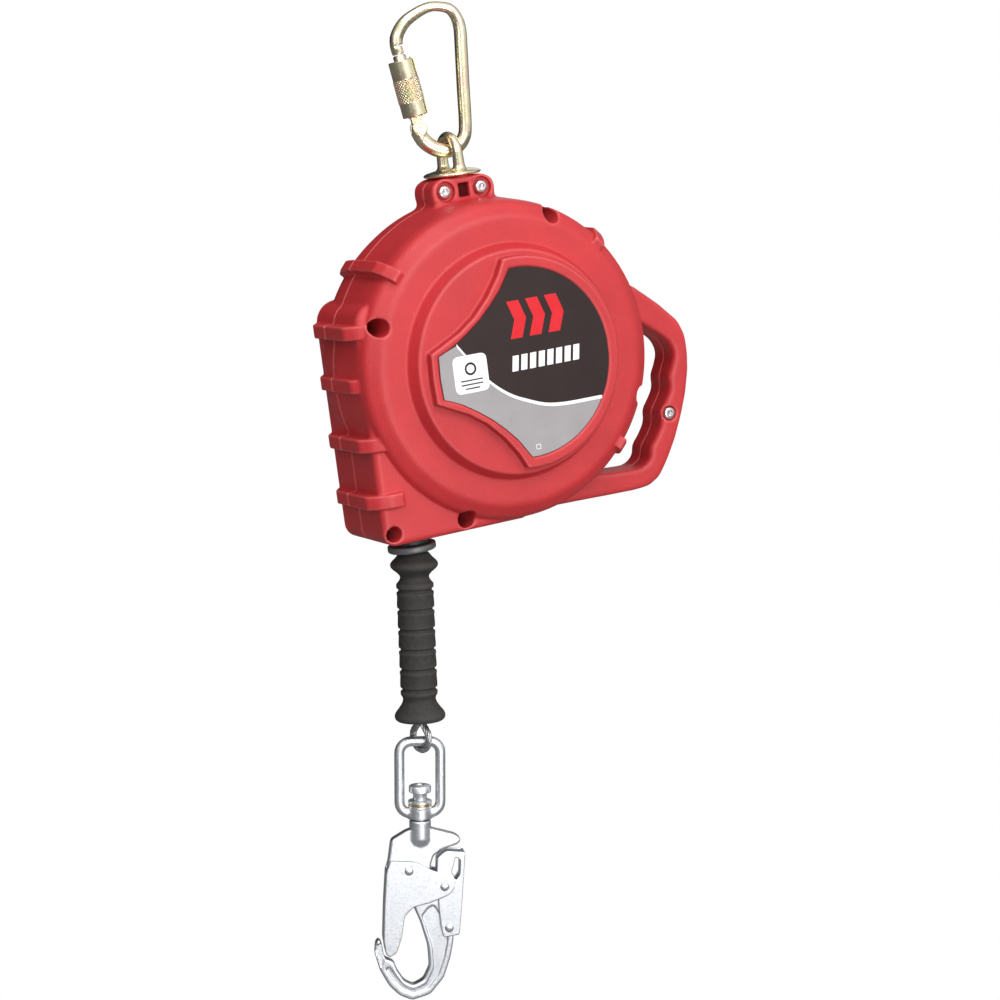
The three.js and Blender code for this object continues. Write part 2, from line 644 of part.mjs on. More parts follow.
// Centre line from the gate's nose over the crown, down the spine and round to the hinge.
const CARABINER_LINE = [
  [-31.4, -32.3], [-33.2, -25.8], [-32.7, -18.5], [-27, -8.8], [-17, -1.2], [-8, 3.2], [0, 4.6],
  [8, 2.6], [13.3, -4], [15.4, -13], [16.6, -28], [18.4, -56], [20, -84], [18.6, -94], [13, -100.6],
  [5, -103.4], [-4, -101.8], [-12, -96.6], [-16.6, -90.6],
];

function buildCarabiner() {
  const line = smooth(CARABINER_LINE, 30).map(([u, w]) => [u, 0, w]);
  const bow = bar(line, CARABINER_BAR_R, { sides: 8 });
  const knuckle = turnedY(rod(6.2, -5.6, 5.6), ...GATE_HINGE, 16);
  const slot = block([-7, -2.5, -1.5], [7, 2.5, 16]);
  slot.rotateY(GATE_TURN);
  slot.translate(GATE_HINGE[0], 0, GATE_HINGE[1]);
  const clearBelow = turnedY(rod(7, -2.5, 2.5), ...GATE_HINGE, 16);
  const pinHole = turnedY(rod(GATE_PIN_R + GAP, -8, 8), ...GATE_HINGE, 12);
  const body = cut(join(bow, knuckle), slot, clearBelow, pinHole);
  add(carabiner, 'carabiner_body', body, GOLD);
  add(carabiner, 'carabiner_gate', gateGeometry(), GOLD);
  add(carabiner, 'carabiner_sleeve', sleeveGeometry(), GOLD);
  add(carabiner, 'gate_pin', turnedY(rod(GATE_PIN_R, -6.2, 6.2), ...GATE_HINGE, 12), STEEL);
}

// Along the gate's own axis: z runs from the hinge to the nose.
function onGate(geometry) {
  geometry.rotateY(GATE_TURN);
  geometry.translate(GATE_HINGE[0], 0, GATE_HINGE[1]);
  return geometry;
}

function gateGeometry() {
  const barrel = turnedZ([[0, 8], [5.4, 8], [5.9, 9], [5.9, 50], [4.9, 51], [4.9, GATE_LENGTH - 1.2],
    [4.2, GATE_LENGTH], [0, GATE_LENGTH]], 0, 0, 20);
  const eye = turnedY(rod(5.2, -2.1, 2.1), 0, 0, 16);
  const tongue = join(block([-4.2, -2.1, 0], [4.2, 2.1, 12]), eye, barrel);
  const pinHole = turnedY(rod(GATE_PIN_R + GAP, -8, 8), 0, 0, 12);
  return onGate(geometryOf(cut(tongue, pinHole)));
}

function sleeveGeometry() {
  const { from, to, outer, inner } = SLEEVE;
  const profile = [[inner, from], [outer - 0.6, from], [outer - 0.6, from + 9], [outer, from + 10],
    [outer, to - 13], [outer - 0.6, to - 12], [outer - 0.6, to], [inner, to], [inner, from]];
  const topSlot = block([4, -3, to - 14], [14, 3, to + 1]);
  const footSlot = block([4, -2.4, from - 1], [14, 2.4, from + 11]);
  const body = cut(solid(turnedZ(profile, 0, 0, 24)), topSlot, footSlot);
  return onGate(geometryOf(body));
}

// ---- lifeline: rope, grip and loop --------------------------------------------------
const lifeline = frameAt(GRIP_TOP, 0, -LINE_LEAN);

function gripProfile() {
  const inner = 3.6;
  const outer = [
    [11, 0], [14, -4], [18.4, -9], [17, -13], [11.2, -19.5], [14, -26],
  ];
  const grooves = [29, 44, 59.5, 75, 90.5, 106].flatMap((s) => [
    [14.1, -s + 2], [12.8, -s], [14.1, -s - 2],
  ]);
  const bell = [[12.4, -116], [19.3, -125.5], [19.6, -128], [17.5, -GRIP_LENGTH]];
  return [[inner, 0], ...outer, ...grooves, ...bell, [inner, -GRIP_LENGTH], [inner, 0]];
}

function buildLifeline() {
  const straight = [[0, 0, ROPE_ABOVE_GRIP], [0, 0, 60], [0, 0, 0], [0, 0, -60], [0, 0, -112]];
  add(lifeline, 'cable_run', bar(straight, ROPE_R, { sides: 8 }), STEEL);
  add(lifeline, 'grip', turnedZ(gripProfile(), 0, 0, 16), BLACK_RUBBER);
  const centre = -LOOP_DROP + ROPE_R + LOOP_R;
  const foot = -GRIP_LENGTH - 3 * GAP;
  const bend = arc(0, centre, LOOP_R, 150, 390, 10).map(([v, z]) => [0, v, z]);
  const path = [[0, -3, foot], [0, -4.2, foot - 3], ...bend, [0, 4.2, foot - 3], [0, 3, foot]];
  const eye = bar(path, ROPE_R, { sides: 8, normal: [1, 0, 0] });
  eye.rotateZ(LOOP_YAW);
  add(lifeline, 'cable_loop', eye, STEEL);
  add(lifeline, 'ferrule', turnedZ(rod(3.3, -129, -112.4), 0, 0, 12), ALUMINIUM);
}

// ---- ring, swivel pin and snap hook --------------------------------------------------
const hook = frameAt(HOOK_ORIGIN, HOOK_YAW);

function ringGeometry() {
  const { half, top, foot, corner } = RING;
  const path = [
    ...arc(half - corner, top - corner, corner, 0, 90, 4),
    ...arc(corner - half, top - corner, corner, 90, 180, 4),
    ...arc(corner - half, foot + corner, corner, 180, 270, 4),
    ...arc(half - corner, foot + corner, corner, 270, 360, 4),
  ];
  const bail = bar(path.map(([u, w]) => [u, 0, w]), RING.bar, { closed: true, sides: 8 });
  const boss = turnedZ(rod(8.4, foot - 4, foot + 4), 0, 0, 16);
  return cut(join(bail, boss), turnedZ(rod(5.7, foot - 9, foot + 9), 0, 0, 16));
}

// Outline of the forged hook body, clockwise from the top of its back.
const HOOK_OUTLINE = [
  [-23, -79.5], [-10.2, -72], [7.7, -71], [27.2, -76.4], [31.8, -80.5], [29, -84.5], [17, -88], [10, -93],
  [7.5, -102], [10, -118], [18, -133], [25, -146], [25.6, -160], [23.1, -174], [18, -190], [7.3, -203],
  [-6.8, -207.3], [-17, -203], [-25, -195], [-32, -182.5], [-36, -169], [-35.4, -160.5],
  [-33, -157.6], [-30.6, -160], [-28.6, -172.5], [-21, -176], [-18.5, -183], [-13, -191.5],
  [-6, -195.3], [2, -191], [6.6, -181], [5.4, -165], [-0.5, -145], [-7, -130], [-17, -108], [-26, -101.5],
];

function hookBody() {
  const blade = plate(outline(HOOK_OUTLINE), -HOOK_HALF, HOOK_HALF, 1.2, 1);
  const boss = turnedZ([[0, -84], [6, -82.5], [8.2, -79], [8.2, -65], [0, -65]], 0, 0, 16);
  const pin = turnedZ(rod(5, -74, -50), 0, 0, 16);
  const holes = [GATE_RIVET, LEVER_RIVET].map(([u, w]) => turnedY(rod(2.5, -10, 10), u, w, 12));
  return cut(join(blade, boss), pin, ...holes);
}

// Both side plates and the back web of the gate, which close over the body and lever.
function gateChannel() {
  const side = [[-24, -95.3], [-4, -96.8], [9.2, -103.6], [21, -107.6], [25.5, -112], [26, -118],
    [22.4, -123.1], [7.5, -128.9], [-6.5, -132.4], [-12.8, -139.3], [-15.2, -156], [-19.1, -167.8],
    [-24.6, -171.3], [-27.6, -169], [-29.4, -158], [-28.6, -130], [-27, -104]];
  const inner = HOOK_HALF + GAP + PLATE + GAP;
  const outer = inner + PLATE;
  const plates = [[-outer, -inner], [inner, outer]].map(([a, b]) => plate(outline(side), a, b));
  const back = [[-27, -104], [-24.6, -104], [-26.2, -130], [-27, -158], [-25.2, -166],
    [-19.1, -167.8], [-24.6, -171.3], [-27.6, -169], [-29.4, -158], [-28.6, -130]];
  const web = plate(outline(back), -inner - 0.4, inner + 0.4);
  const hole = rod(RIVET_HOLE_R, -20, 20);
  const holes = [GATE_RIVET, TAIL_RIVET].map(([u, w]) => turnedY(hole, u, w, 12));
  return cut(join(...plates, web), ...holes);
}

function lockLever() {
  const side = [[34.6, -90.1], [19.3, -88.9], [12.5, -94.5], [12.2, -108], [13.5, -132],
    [15.5, -150], [17.5, -157.6], [30, -155.5], [32, -130]];
  const inner = HOOK_HALF + GAP;
  const outer = inner + PLATE;
  const window = [[27.1, -93.6], [30.6, -96.6], [30.2, -108], [27.1, -112.4], [23.6, -106]];
  const travel = [[13.6, -104.8], [28, -106.5], [28, -119.5], [13.6, -119.5]];
  const plates = [[-outer, -inner], [inner, outer]].map(([a, b]) => plate(outline(side), a, b));
  const back = [[34.6, -90.1], [33, -90], [30.4, -130], [28.4, -155.7], [30, -155.5], [32, -130]];
  const web = plate(outline(back), -inner - 0.4, inner + 0.4);
  const rivetHole = turnedY(rod(RIVET_HOLE_R, -20, 20), ...LEVER_RIVET, 12);
  const openings = [window, travel].map((points) => plate(outline(points), -20, 20));
  return cut(join(...plates, web), rivetHole, ...openings);
}

function rivet([u, w], half) {
  const head = [[3.4, half], [2.6, half + 0.5], [0, half + 0.9]];
  const tail = head.map(([r, y]) => [r, -y]).reverse();
  return turnedY([...tail, [2.2, -half], [2.2, half], ...head], u, w, 12);
}

function buildHook() {
  add(hook, 'swivel_ring', ringGeometry(), HOOK_STEEL);
  const stem = turnedZ([[0, -73.7], [4.7, -73.7], [4.7, -49.2], [5.4, -49], [5.4, -44], [8.6, -43],
    [8.6, -38.4], [7.6, -37.4], [0, -37.4]], 0, 0, 16);
  add(hook, 'swivel_pin', stem, HOOK_STEEL);
  const washer = turnedZ(tube(5.2, 9, -55.4, -49.4), 0, 0, 16);
  add(hook, 'indicator_washer', washer, BRASS);
  add(hook, 'hook_body', hookBody(), HOOK_STEEL);
  add(hook, 'hook_gate', gateChannel(), HOOK_STEEL);
  add(hook, 'lock_lever', lockLever(), HOOK_STEEL);
  const gateHalf = HOOK_HALF + 2 * (GAP + PLATE) + GAP;
  add(hook, 'gate_rivet', rivet(GATE_RIVET, gateHalf), HOOK_STEEL);
  add(hook, 'gate_tail_rivet', rivet(TAIL_RIVET, gateHalf), HOOK_STEEL);
  add(hook, 'lever_rivet', rivet(LEVER_RIVET, HOOK_HALF + PLATE + 2 * GAP), HOOK_STEEL);
}

buildShells();
buildLabel();
buildScrews();
buildFrame();
buildDrum();
buildGuide();
buildEye();
buildCarabiner();
buildLifeline();
buildHook();

export default group;
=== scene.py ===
"""Looks of the self retracting lifeline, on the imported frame.

Pieces are modelled in millimetres in four local frames, the same ones as the CAD model's
(housing, carabiner, lifeline and hook), and placed in the row frame in metres.
Organic mouldings and forgings are built as signed distances on a grid ("clay"), where
forms are joined and carved with fillets, and then meshed.
"""

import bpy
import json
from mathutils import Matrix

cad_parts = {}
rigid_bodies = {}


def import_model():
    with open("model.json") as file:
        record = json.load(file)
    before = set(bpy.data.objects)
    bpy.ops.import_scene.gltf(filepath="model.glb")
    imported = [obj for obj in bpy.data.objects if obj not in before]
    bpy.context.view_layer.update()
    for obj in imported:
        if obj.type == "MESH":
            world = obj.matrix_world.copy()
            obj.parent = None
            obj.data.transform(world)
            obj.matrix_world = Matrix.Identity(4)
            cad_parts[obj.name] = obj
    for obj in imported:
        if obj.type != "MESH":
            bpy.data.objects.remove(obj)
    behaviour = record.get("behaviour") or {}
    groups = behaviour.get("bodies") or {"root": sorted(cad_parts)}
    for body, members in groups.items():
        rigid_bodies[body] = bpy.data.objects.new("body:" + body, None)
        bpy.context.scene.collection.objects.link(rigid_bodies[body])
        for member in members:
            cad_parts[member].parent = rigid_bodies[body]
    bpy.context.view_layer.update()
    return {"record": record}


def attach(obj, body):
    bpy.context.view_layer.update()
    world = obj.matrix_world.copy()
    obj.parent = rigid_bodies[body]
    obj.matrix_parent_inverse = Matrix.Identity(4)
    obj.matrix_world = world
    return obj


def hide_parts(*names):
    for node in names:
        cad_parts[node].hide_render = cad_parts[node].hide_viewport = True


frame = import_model()

import json
import math

import bpy
import numpy as np
from mathutils import Matrix, Vector

# ---- camera ---------------------------------------------------------------------------
CAMERA_AT = (-0.84414, -1.72263, -0.15274)
AZIMUTH, ELEVATION = math.radians(-27.466), math.radians(6.427)
LENS, SENSOR = 90.67, 36.0


def make_camera():
    data = bpy.data.cameras.new("camera")
    data.lens, data.sensor_width = LENS, SENSOR
    camera = bpy.data.objects.new("camera", data)
    bpy.context.scene.collection.objects.link(camera)
    back = Vector((
        math.sin(AZIMUTH) * math.cos(ELEVATION),
        -math.cos(AZIMUTH) * math.cos(ELEVATION),
        math.sin(ELEVATION),
    ))
    camera.location = CAMERA_AT
    camera.rotation_mode = "QUATERNION"
    camera.rotation_quaternion = (-back).to_track_quat("-Z", "Y")
    bpy.context.scene.camera = camera


make_camera()

# ---- local frames, millimetres to row metres ------------------------------------------
MM = 0.001
HANG_Y = -1.4


def local(origin, angle, axis):
    turn = Matrix.Rotation(math.radians(angle), 4, axis)
    return Matrix.Scale(MM, 4) @ Matrix.Translation(origin) @ turn


TO_FRONT = Matrix.Rotation(math.pi / 2, 4, "X")      # turns +z to -y
HOUSING = local((34.3, HANG_Y, -260.5), -8.17, "Y")
CARABINER = local((0, 0, 0), -12, "Z")
LIFELINE = local((-23.8, HANG_Y, -407.3), -2.27, "Y")
HOOK = local((-19.1, HANG_Y, -551.4), -20, "Z")


# ---- outlines -------------------------------------------------------------------------
def arc(cx, cz, r, a0, a1, steps=8):
    angles = np.radians(np.linspace(a0, a1, steps + 1))
    return [(cx + r * math.cos(a), cz + r * math.sin(a)) for a in angles]


def rounded(points, r, steps=4, closed=True):
    """The outline with each corner turned into a curve that starts r away from it."""
    points = [np.array(p, float) for p in points]
    count = len(points)
    out = []
    for i, p in enumerate(points):
        if not closed and i in (0, count - 1):
            out.append(tuple(p))
            continue
        before, after = points[i - 1] - p, points[(i + 1) % count] - p
        a = p + before * min(r / np.linalg.norm(before), 0.45)
        b = p + after * min(r / np.linalg.norm(after), 0.45)
        for t in np.linspace(0, 1, steps + 1):
            out.append(tuple((1 - t) ** 2 * a + 2 * t * (1 - t) * p + t * t * b))
    return out


def box_outline(x0, z0, x1, z1):
    return [(x0, z0), (x1, z0), (x1, z1), (x0, z1)]


def mirrored(points):
    """The points and their mirror image in z, as one closed outline."""
    return list(points) + [(x, -z) for x, z in reversed(points)]


# ---- clay: signed distances on a grid -------------------------------------------------
def polygon(points, u, v):
    """Signed distance to a closed outline, negative inside."""
    shape = np.broadcast(u, v).shape
    best = np.full(shape, 1e9)
    inside = np.zeros(shape, bool)
    for (ax, ay), (bx, by) in zip(points, list(points[1:]) + [points[0]]):
        ex, ey = bx - ax, by - ay
        wx, wy = u - ax, v - ay
        t = np.clip((wx * ex + wy * ey) / max(ex * ex + ey * ey, 1e-12), 0, 1)
        best = np.minimum(best, (wx - ex * t) ** 2 + (wy - ey * t) ** 2)
        if ey:
            inside ^= ((ay > v) != (by > v)) & (u < ex * (v - ay) / ey + ax)
    return np.where(inside, -1, 1) * np.sqrt(best)


def looked_up(profile, r, t, axis):
    """polygon(profile, r, t) where t runs along one axis of the grid, from a table."""
    radii = np.arange(r.min() - 1, r.max() + 1, 0.4)
    table = polygon(profile, radii[:, None], t.ravel()[None, :])
    planes = [np.interp(r, radii, table[:, j]) for j in range(t.size)]
    return np.concatenate(planes, axis)


def crossed(a, b, edge):
    """Where two distances overlap, with the edge between them rounded."""
    a, b = a + edge, b + edge
    return np.minimum(np.maximum(a, b), 0) + np.hypot(np.maximum(a, 0), np.maximum(b, 0)) - edge


def slab(points, low, high, edge):
    """An x-z outline pushed along y, with rounded edges."""
    def form(x, y, z):
        return crossed(polygon(points, x, z), np.abs(y - (low + high) / 2) - (high - low) / 2, edge)
    return form


def turned(profile, at=(0, 0), along="y"):
    """A turned form about a line along y or z; profile points are (radius, along)."""
    def form(x, y, z):
        if along == "y":
            return looked_up(profile, np.hypot(x - at[0], z - at[1]), y, 1)
        return looked_up(profile, np.hypot(x - at[0], y - at[1]), z, 2)
    return form


def rod(at, radius, low, high, along="y"):
    return turned([(-5, low), (radius, low), (radius, high), (-5, high)], at, along)


def spoke(profile, angle, half, edge):
    """A rib across the drum's side: (radius, y) profile, with a width across the radius."""
    a = math.radians(angle)

    def form(x, y, z):
        reach = x * math.cos(a) + z * math.sin(a)
        across = np.abs(z * math.cos(a) - x * math.sin(a)) - half
        return crossed(looked_up(profile, reach, y, 1), across, edge)
    return form


def shelf(points, z0, half, edge):
    """An x-y outline as thick as 2 half about the height z0, with rounded edges."""
    def form(x, y, z):
        return crossed(polygon(points, x, y), np.abs(z - z0) - half, edge)
    return form


def wire(points, radii, closed=False):
    """A round bar along points in the x-z plane, with a radius at each point."""
    ends = points[1:] + points[:1] if closed else points[1:]
    sizes = radii[1:] + radii[:1] if closed else radii[1:]

    def form(x, y, z):
        best = np.full(np.broadcast(x, z).shape, 1e9)
        radius = np.zeros_like(best)
        for (ax, az), (bx, bz), ra, rb in zip(points, ends, radii, sizes):
            ex, ez = bx - ax, bz - az
            t = np.clip(((x - ax) * ex + (z - az) * ez) / (ex * ex + ez * ez), 0, 1)
            d = (x - ax - ex * t) ** 2 + (z - az - ez * t) ** 2
            radius = np.where(d < best, ra + (rb - ra) * t, radius)
            best = np.minimum(best, d)
        return np.sqrt(best + y * y) - radius
    return form


def soft_union(a, b, fillet):
    h = np.clip(0.5 + 0.5 * (b - a) / fillet, 0, 1)
    return b + (a - b) * h - fillet * h * (1 - h)


class Clay:
    """A solid as signed distances in millimetres, negative inside."""

    def __init__(self, low, high, step):
        self.step = step * 1
        self.axes = [np.arange(a - 3 * self.step, b + 3 * self.step, self.step) for a, b in zip(low, high)]
        self.field = np.full([len(axis) for axis in self.axes], 50, np.float32)

    def _apply(self, form, low, high, change):
        spans = [np.searchsorted(axis, (a, b)) for axis, a, b in zip(self.axes, low, high)]
        here = tuple(slice(a, b) for a, b in spans)
        x, y, z = (axis[s] for axis, s in zip(self.axes, here))
        made = form(x[:, None, None], y[None, :, None], z[None, None, :]).astype(np.float32)
        self.field[here] = change(self.field[here], made)

    def add(self, form, fillet=0.6, low=(-1e3,) * 3, high=(1e3,) * 3):
        self._apply(form, low, high, lambda old, new: soft_union(old, new, fillet))

    def carve(self, form, fillet=0.6, low=(-1e3,) * 3, high=(1e3,) * 3):
        self._apply(form, low, high, lambda old, new: -soft_union(-old, new, fillet))

    def mesh(self, keep=None):
        """Vertices and quads of the surface, cut to the form keep where one is given."""
        field = self.field
        if keep:
            x, y, z = self.axes
            limit = keep(x[:, None, None], y[None, :, None], z[None, None, :])
            field = np.maximum(field, limit.astype(np.float32))
        points, quads = surface_nets(field)
        for _ in range(3):
            points = settle(field, spread(points, quads))
        return points * self.step + [axis[0] for axis in self.axes], quads


CORNERS = np.array([(i, j, k) for i in (0, 1) for j in (0, 1) for k in (0, 1)])


def surface_nets(field):
    """One vertex in each grid cell that the surface crosses, one quad for each crossed edge."""
    inside = field < 0
    size = np.array(field.shape) - 1
    count = np.zeros(size, np.uint8)
    for i, j, k in CORNERS:
        count += inside[i:i + size[0], j:j + size[1], k:k + size[2]]
    cells = np.argwhere((count > 0) & (count < 8))
    ids = np.full(size, -1, np.int64)
    ids[tuple(cells.T)] = np.arange(len(cells))
    values = np.stack([field[tuple((cells + c).T)] for c in CORNERS], 1).astype(float)
    total, hits = np.zeros((len(cells), 3)), np.zeros(len(cells))
    for a in range(8):
        for b in range(a + 1, 8):
            if np.abs(CORNERS[a] - CORNERS[b]).sum() != 1:
                continue
            cut = (values[:, a] < 0) != (values[:, b] < 0)
            t = values[cut, a] / (values[cut, a] - values[cut, b])
            total[cut] += CORNERS[a] + t[:, None] * (CORNERS[b] - CORNERS[a])
            hits[cut] += 1
    points = cells + total / hits[:, None]
    quads = []
    for axis in range(3):
        u, v = np.eye(3, dtype=int)[[(axis + 1) % 3, (axis + 2) % 3]]
        near = np.take(inside, range(size[axis]), axis)
        far = np.take(inside, range(1, size[axis] + 1), axis)
        edges = np.argwhere(near != far)
        loop = np.stack([ids[tuple((edges - step).T)] for step in (0 * u, u, u + v, v)], 1)
        outward = near[tuple(edges.T)][:, None]
        quads.append(np.where(outward, loop, loop[:, ::-1]))
    return points, np.concatenate(quads)


def spread(points, quads):
    """Each vertex moves to the middle of its neighbours."""
    total, count = np.zeros_like(points), np.zeros(len(points))
    for k in range(4):
        here, after = quads[:, k], quads[:, (k + 1) % 4]
        for a, b in ((here, after), (after, here)):
            for axis in range(3):
                total[:, axis] += np.bincount(a, points[b, axis], len(points))
            count += np.bincount(a, minlength=len(points))
    return total / count[:, None]


def settle(field, points):
    """Each vertex moves along the gradient onto the surface."""
    def value(p):
        base = np.clip(np.floor(p).astype(int), 0, np.array(field.shape) - 2)
        f = p - base
        out = np.zeros(len(p))
        for c in CORNERS:
            weight = np.prod(np.where(c, f, 1 - f), 1)
            out += weight * field[tuple((base + c).T)]
        return out

    half = np.eye(3) * 0.6
    slope = np.stack([(value(points + h) - value(points - h)) / 1.2 for h in half], 1)
    move = slope * (value(points) / np.maximum((slope ** 2).sum(1), 1e-3))[:, None]
    return points - np.clip(move, -0.7, 0.7)


def transplant(other):
    """Another clay as a form, sampled between its grid points."""
    def form(x, y, z):
        out = other.field
        for axis, (mine, wanted) in enumerate(zip(other.axes, (x, y, z))):
            at = np.clip((wanted.ravel() - mine[0]) / other.step, 0, len(mine) - 1.001)
            low = at.astype(int)
            part = (at - low).reshape([-1 if k == axis else 1 for k in range(3)])
            out = np.take(out, low, axis) * (1 - part) + np.take(out, low + 1, axis) * part
        return out
    return form


# ---- mesh pieces ----------------------------------------------------------------------
def piece(name, verts, faces, where, body, finish, nodes=(), slot=None, crease=40):
    """A piece from local millimetres, on a body, in place of CAD nodes."""
    mesh = bpy.data.meshes.new(name)
    turn = np.array(where)
    placed = np.asarray(verts, float) @ turn[:3, :3].T + turn[:3, 3]
    mesh.from_pydata(placed.tolist(), [], [list(map(int, f)) for f in faces])
    mesh.update()
    mesh.shade_smooth()
    if crease:
        mesh.set_sharp_from_angle(angle=math.radians(crease))
    mesh.materials.append(finish)
    obj = bpy.data.objects.new(name, mesh)
    bpy.context.scene.collection.objects.link(obj)
    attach(obj, body)
    if nodes:
        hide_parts(*nodes)
    return obj


def merged(*parts):
    """Several (verts, faces) as one."""
    verts, faces = [], []
    for v, f in parts:
        faces += [[i + len(verts) for i in face] for face in f]
        verts += [tuple(p) for p in v]
    return verts, faces


def rings(rows, closed=False):
    """A skin over rows of points; closed joins the last row to the first."""
    sides = len(rows[0])
    verts = [tuple(p) for row in rows for p in row]
    faces = []
    for i in range(len(rows) if closed else len(rows) - 1):
        a, b = i * sides, (i + 1) % len(rows) * sides
        for k in range(sides):
            n = (k + 1) % sides
            faces.append([a + k, a + n, b + n, b + k])
    if not closed:
        faces.append(list(range(sides))[::-1])
        faces.append([(len(rows) - 1) * sides + k for k in range(sides)])
    return verts, faces


def around(sides):
    return [2 * math.pi * k / sides for k in range(sides)]


def lathe(profile, sides=48):
    """A turned skin about z; the profile runs from low z to high z, or round a closed tube."""
    closed = profile[0] == profile[-1]
    points = profile[:-1] if closed else profile
    rows = [[(r * math.cos(a), r * math.sin(a), z) for a in around(sides)] for r, z in points]
    return rings(rows, closed)


def carried(ahead):
    """Two directions across a path at each point, carried along it without twist."""
    side = np.cross(ahead[0], (0.3, 0.9, 0.2))
    sides = []
    for t in ahead:
        side = side - t * side.dot(t)
        side /= np.linalg.norm(side)
        sides.append(side)
    return np.array(sides), np.cross(ahead, sides)


def sweep(path, radius, sides):
    """A round tube along a path in space."""
    ahead = np.roll(path, -1, 0) - np.roll(path, 1, 0)
    ahead[0], ahead[-1] = path[1] - path[0], path[-1] - path[-2]
    ahead /= np.linalg.norm(ahead, axis=1)[:, None]
    rows = []
    for p, side, up in zip(path, *carried(ahead)):
        rows.append([p + radius * (math.cos(a) * side + math.sin(a) * up) for a in around(sides)])
    return rings(rows)


def resampled(points, step):
    """Evenly spaced points on a Catmull-Rom curve through the points."""
    points = np.asarray(points, float)
    last = len(points) - 1
    fine = []
    for i in range(last):
        p = [points[min(max(i + k, 0), last)] for k in (-1, 0, 1, 2)]
        for t in np.linspace(0, 1, 12, endpoint=False):
            fine.append(0.5 * (2 * p[1] + (p[2] - p[0]) * t + (2 * p[0] - 5 * p[1] + 4 * p[2] - p[3]) * t * t
                               + (3 * p[1] - p[0] - 3 * p[2] + p[3]) * t ** 3))
    fine = np.array(fine + [points[-1]])
    length = np.concatenate([[0], np.cumsum(np.linalg.norm(np.diff(fine, axis=0), axis=1))])
    at = np.linspace(0, length[-1], max(int(length[-1] / step), 4) + 1)
    return np.stack([np.interp(at, length, fine[:, k]) for k in range(points.shape[1])], 1)


def stranded(points, radius, lay=26, strands=6):
    """A wire rope: strands laid round a core along the path."""
    path = resampled(points, 0.9)
    ahead = np.gradient(path, axis=0)
    ahead /= np.linalg.norm(ahead, axis=1)[:, None]
    length = np.concatenate([[0], np.cumsum(np.linalg.norm(np.diff(path, axis=0), axis=1))])
    sides, ups = carried(ahead)
    tubes = [sweep(path, radius * 0.5, 8)]
    for k in range(strands):
        turn = 2 * math.pi * (length / lay + k / strands)
        offset = np.cos(turn)[:, None] * sides + np.sin(turn)[:, None] * ups
        tubes.append(sweep(path + offset * radius * 0.64, radius * 0.37, 8))
    return merged(*tubes)


def moved(mesh, matrix):
    verts, faces = mesh
    return [tuple(matrix @ Vector(p)) for p in verts], faces


# ---- materials ------------------------------------------------------------------------
ROUGH_PATCH = 300                # noise scale of the roughness
EDGE_FROM, EDGE_TO = 0.51, 0.60  # pointiness where the painted edge highlight starts and where it is full


def material(name, tones, patch, roughness, metallic=0.0, grain=None, edge=None, specular=0.5):
    """Colour from a soft noise between tones, roughness from another, bump from fine grain.

    patch is the noise scale of the tones, grain is (scale, millimetres deep) and edge is the
    tone that convex edges turn towards, lighter than the tones: a painted highlight on the edges.
    """
    look = bpy.data.materials.new(name)
    look.use_nodes = True
    tree = look.node_tree
    shader = tree.nodes["Principled BSDF"]
    shader.inputs["Metallic"].default_value = metallic
    shader.inputs["Specular IOR Level"].default_value = specular
    where = tree.nodes.new("ShaderNodeTexCoord").outputs["Object"]

    def noise(scale, detail=4.0):
        node = tree.nodes.new("ShaderNodeTexNoise")
        node.inputs["Scale"].default_value = scale
        node.inputs["Detail"].default_value = detail
        tree.links.new(where, node.inputs["Vector"])
        return node.outputs["Fac"]

    ramp = tree.nodes.new("ShaderNodeValToRGB")
    stops = ramp.color_ramp.elements
    while len(stops) < len(tones):
        stops.new(0.5)
    for i, (stop, tone) in enumerate(zip(stops, tones)):
        stop.position = 0.3 + 0.4 * i / max(len(tones) - 1, 1)
        stop.color = (*tone, 1)
    tree.links.new(noise(patch), ramp.inputs["Fac"])
    colour = ramp.outputs["Color"]
    # convex edges, found by pointiness, turn towards the lighter edge tone: a painted highlight
    if edge:
        edge_highlight = tree.nodes.new("ShaderNodeMapRange")
        edge_highlight.inputs["From Min"].default_value = EDGE_FROM
        edge_highlight.inputs["From Max"].default_value = EDGE_TO
        tree.links.new(tree.nodes.new("ShaderNodeNewGeometry").outputs["Pointiness"], edge_highlight.inputs["Value"])
        mix = tree.nodes.new("ShaderNodeMix")
        mix.data_type = "RGBA"
        mix.inputs["B"].default_value = (*edge, 1)
        tree.links.new(edge_highlight.outputs["Result"], mix.inputs["Factor"])
        tree.links.new(colour, mix.inputs["A"])
        colour = mix.outputs["Result"]
    tree.links.new(colour, shader.inputs["Base Color"])

    span = tree.nodes.new("ShaderNodeMapRange")
    span.inputs["To Min"].default_value = roughness[0]
    span.inputs["To Max"].default_value = roughness[1]
    tree.links.new(noise(ROUGH_PATCH), span.inputs["Value"])
    tree.links.new(span.outputs["Result"], shader.inputs["Roughness"])

    if grain:
        scale, depth = grain
        bump = tree.nodes.new("ShaderNodeBump")
        bump.inputs["Strength"].default_value = 1.0
        bump.inputs["Distance"].default_value = depth * MM
        tree.links.new(noise(scale, 3.0), bump.inputs["Height"])
        tree.links.new(bump.outputs["Normal"], shader.inputs["Normal"])
    return look
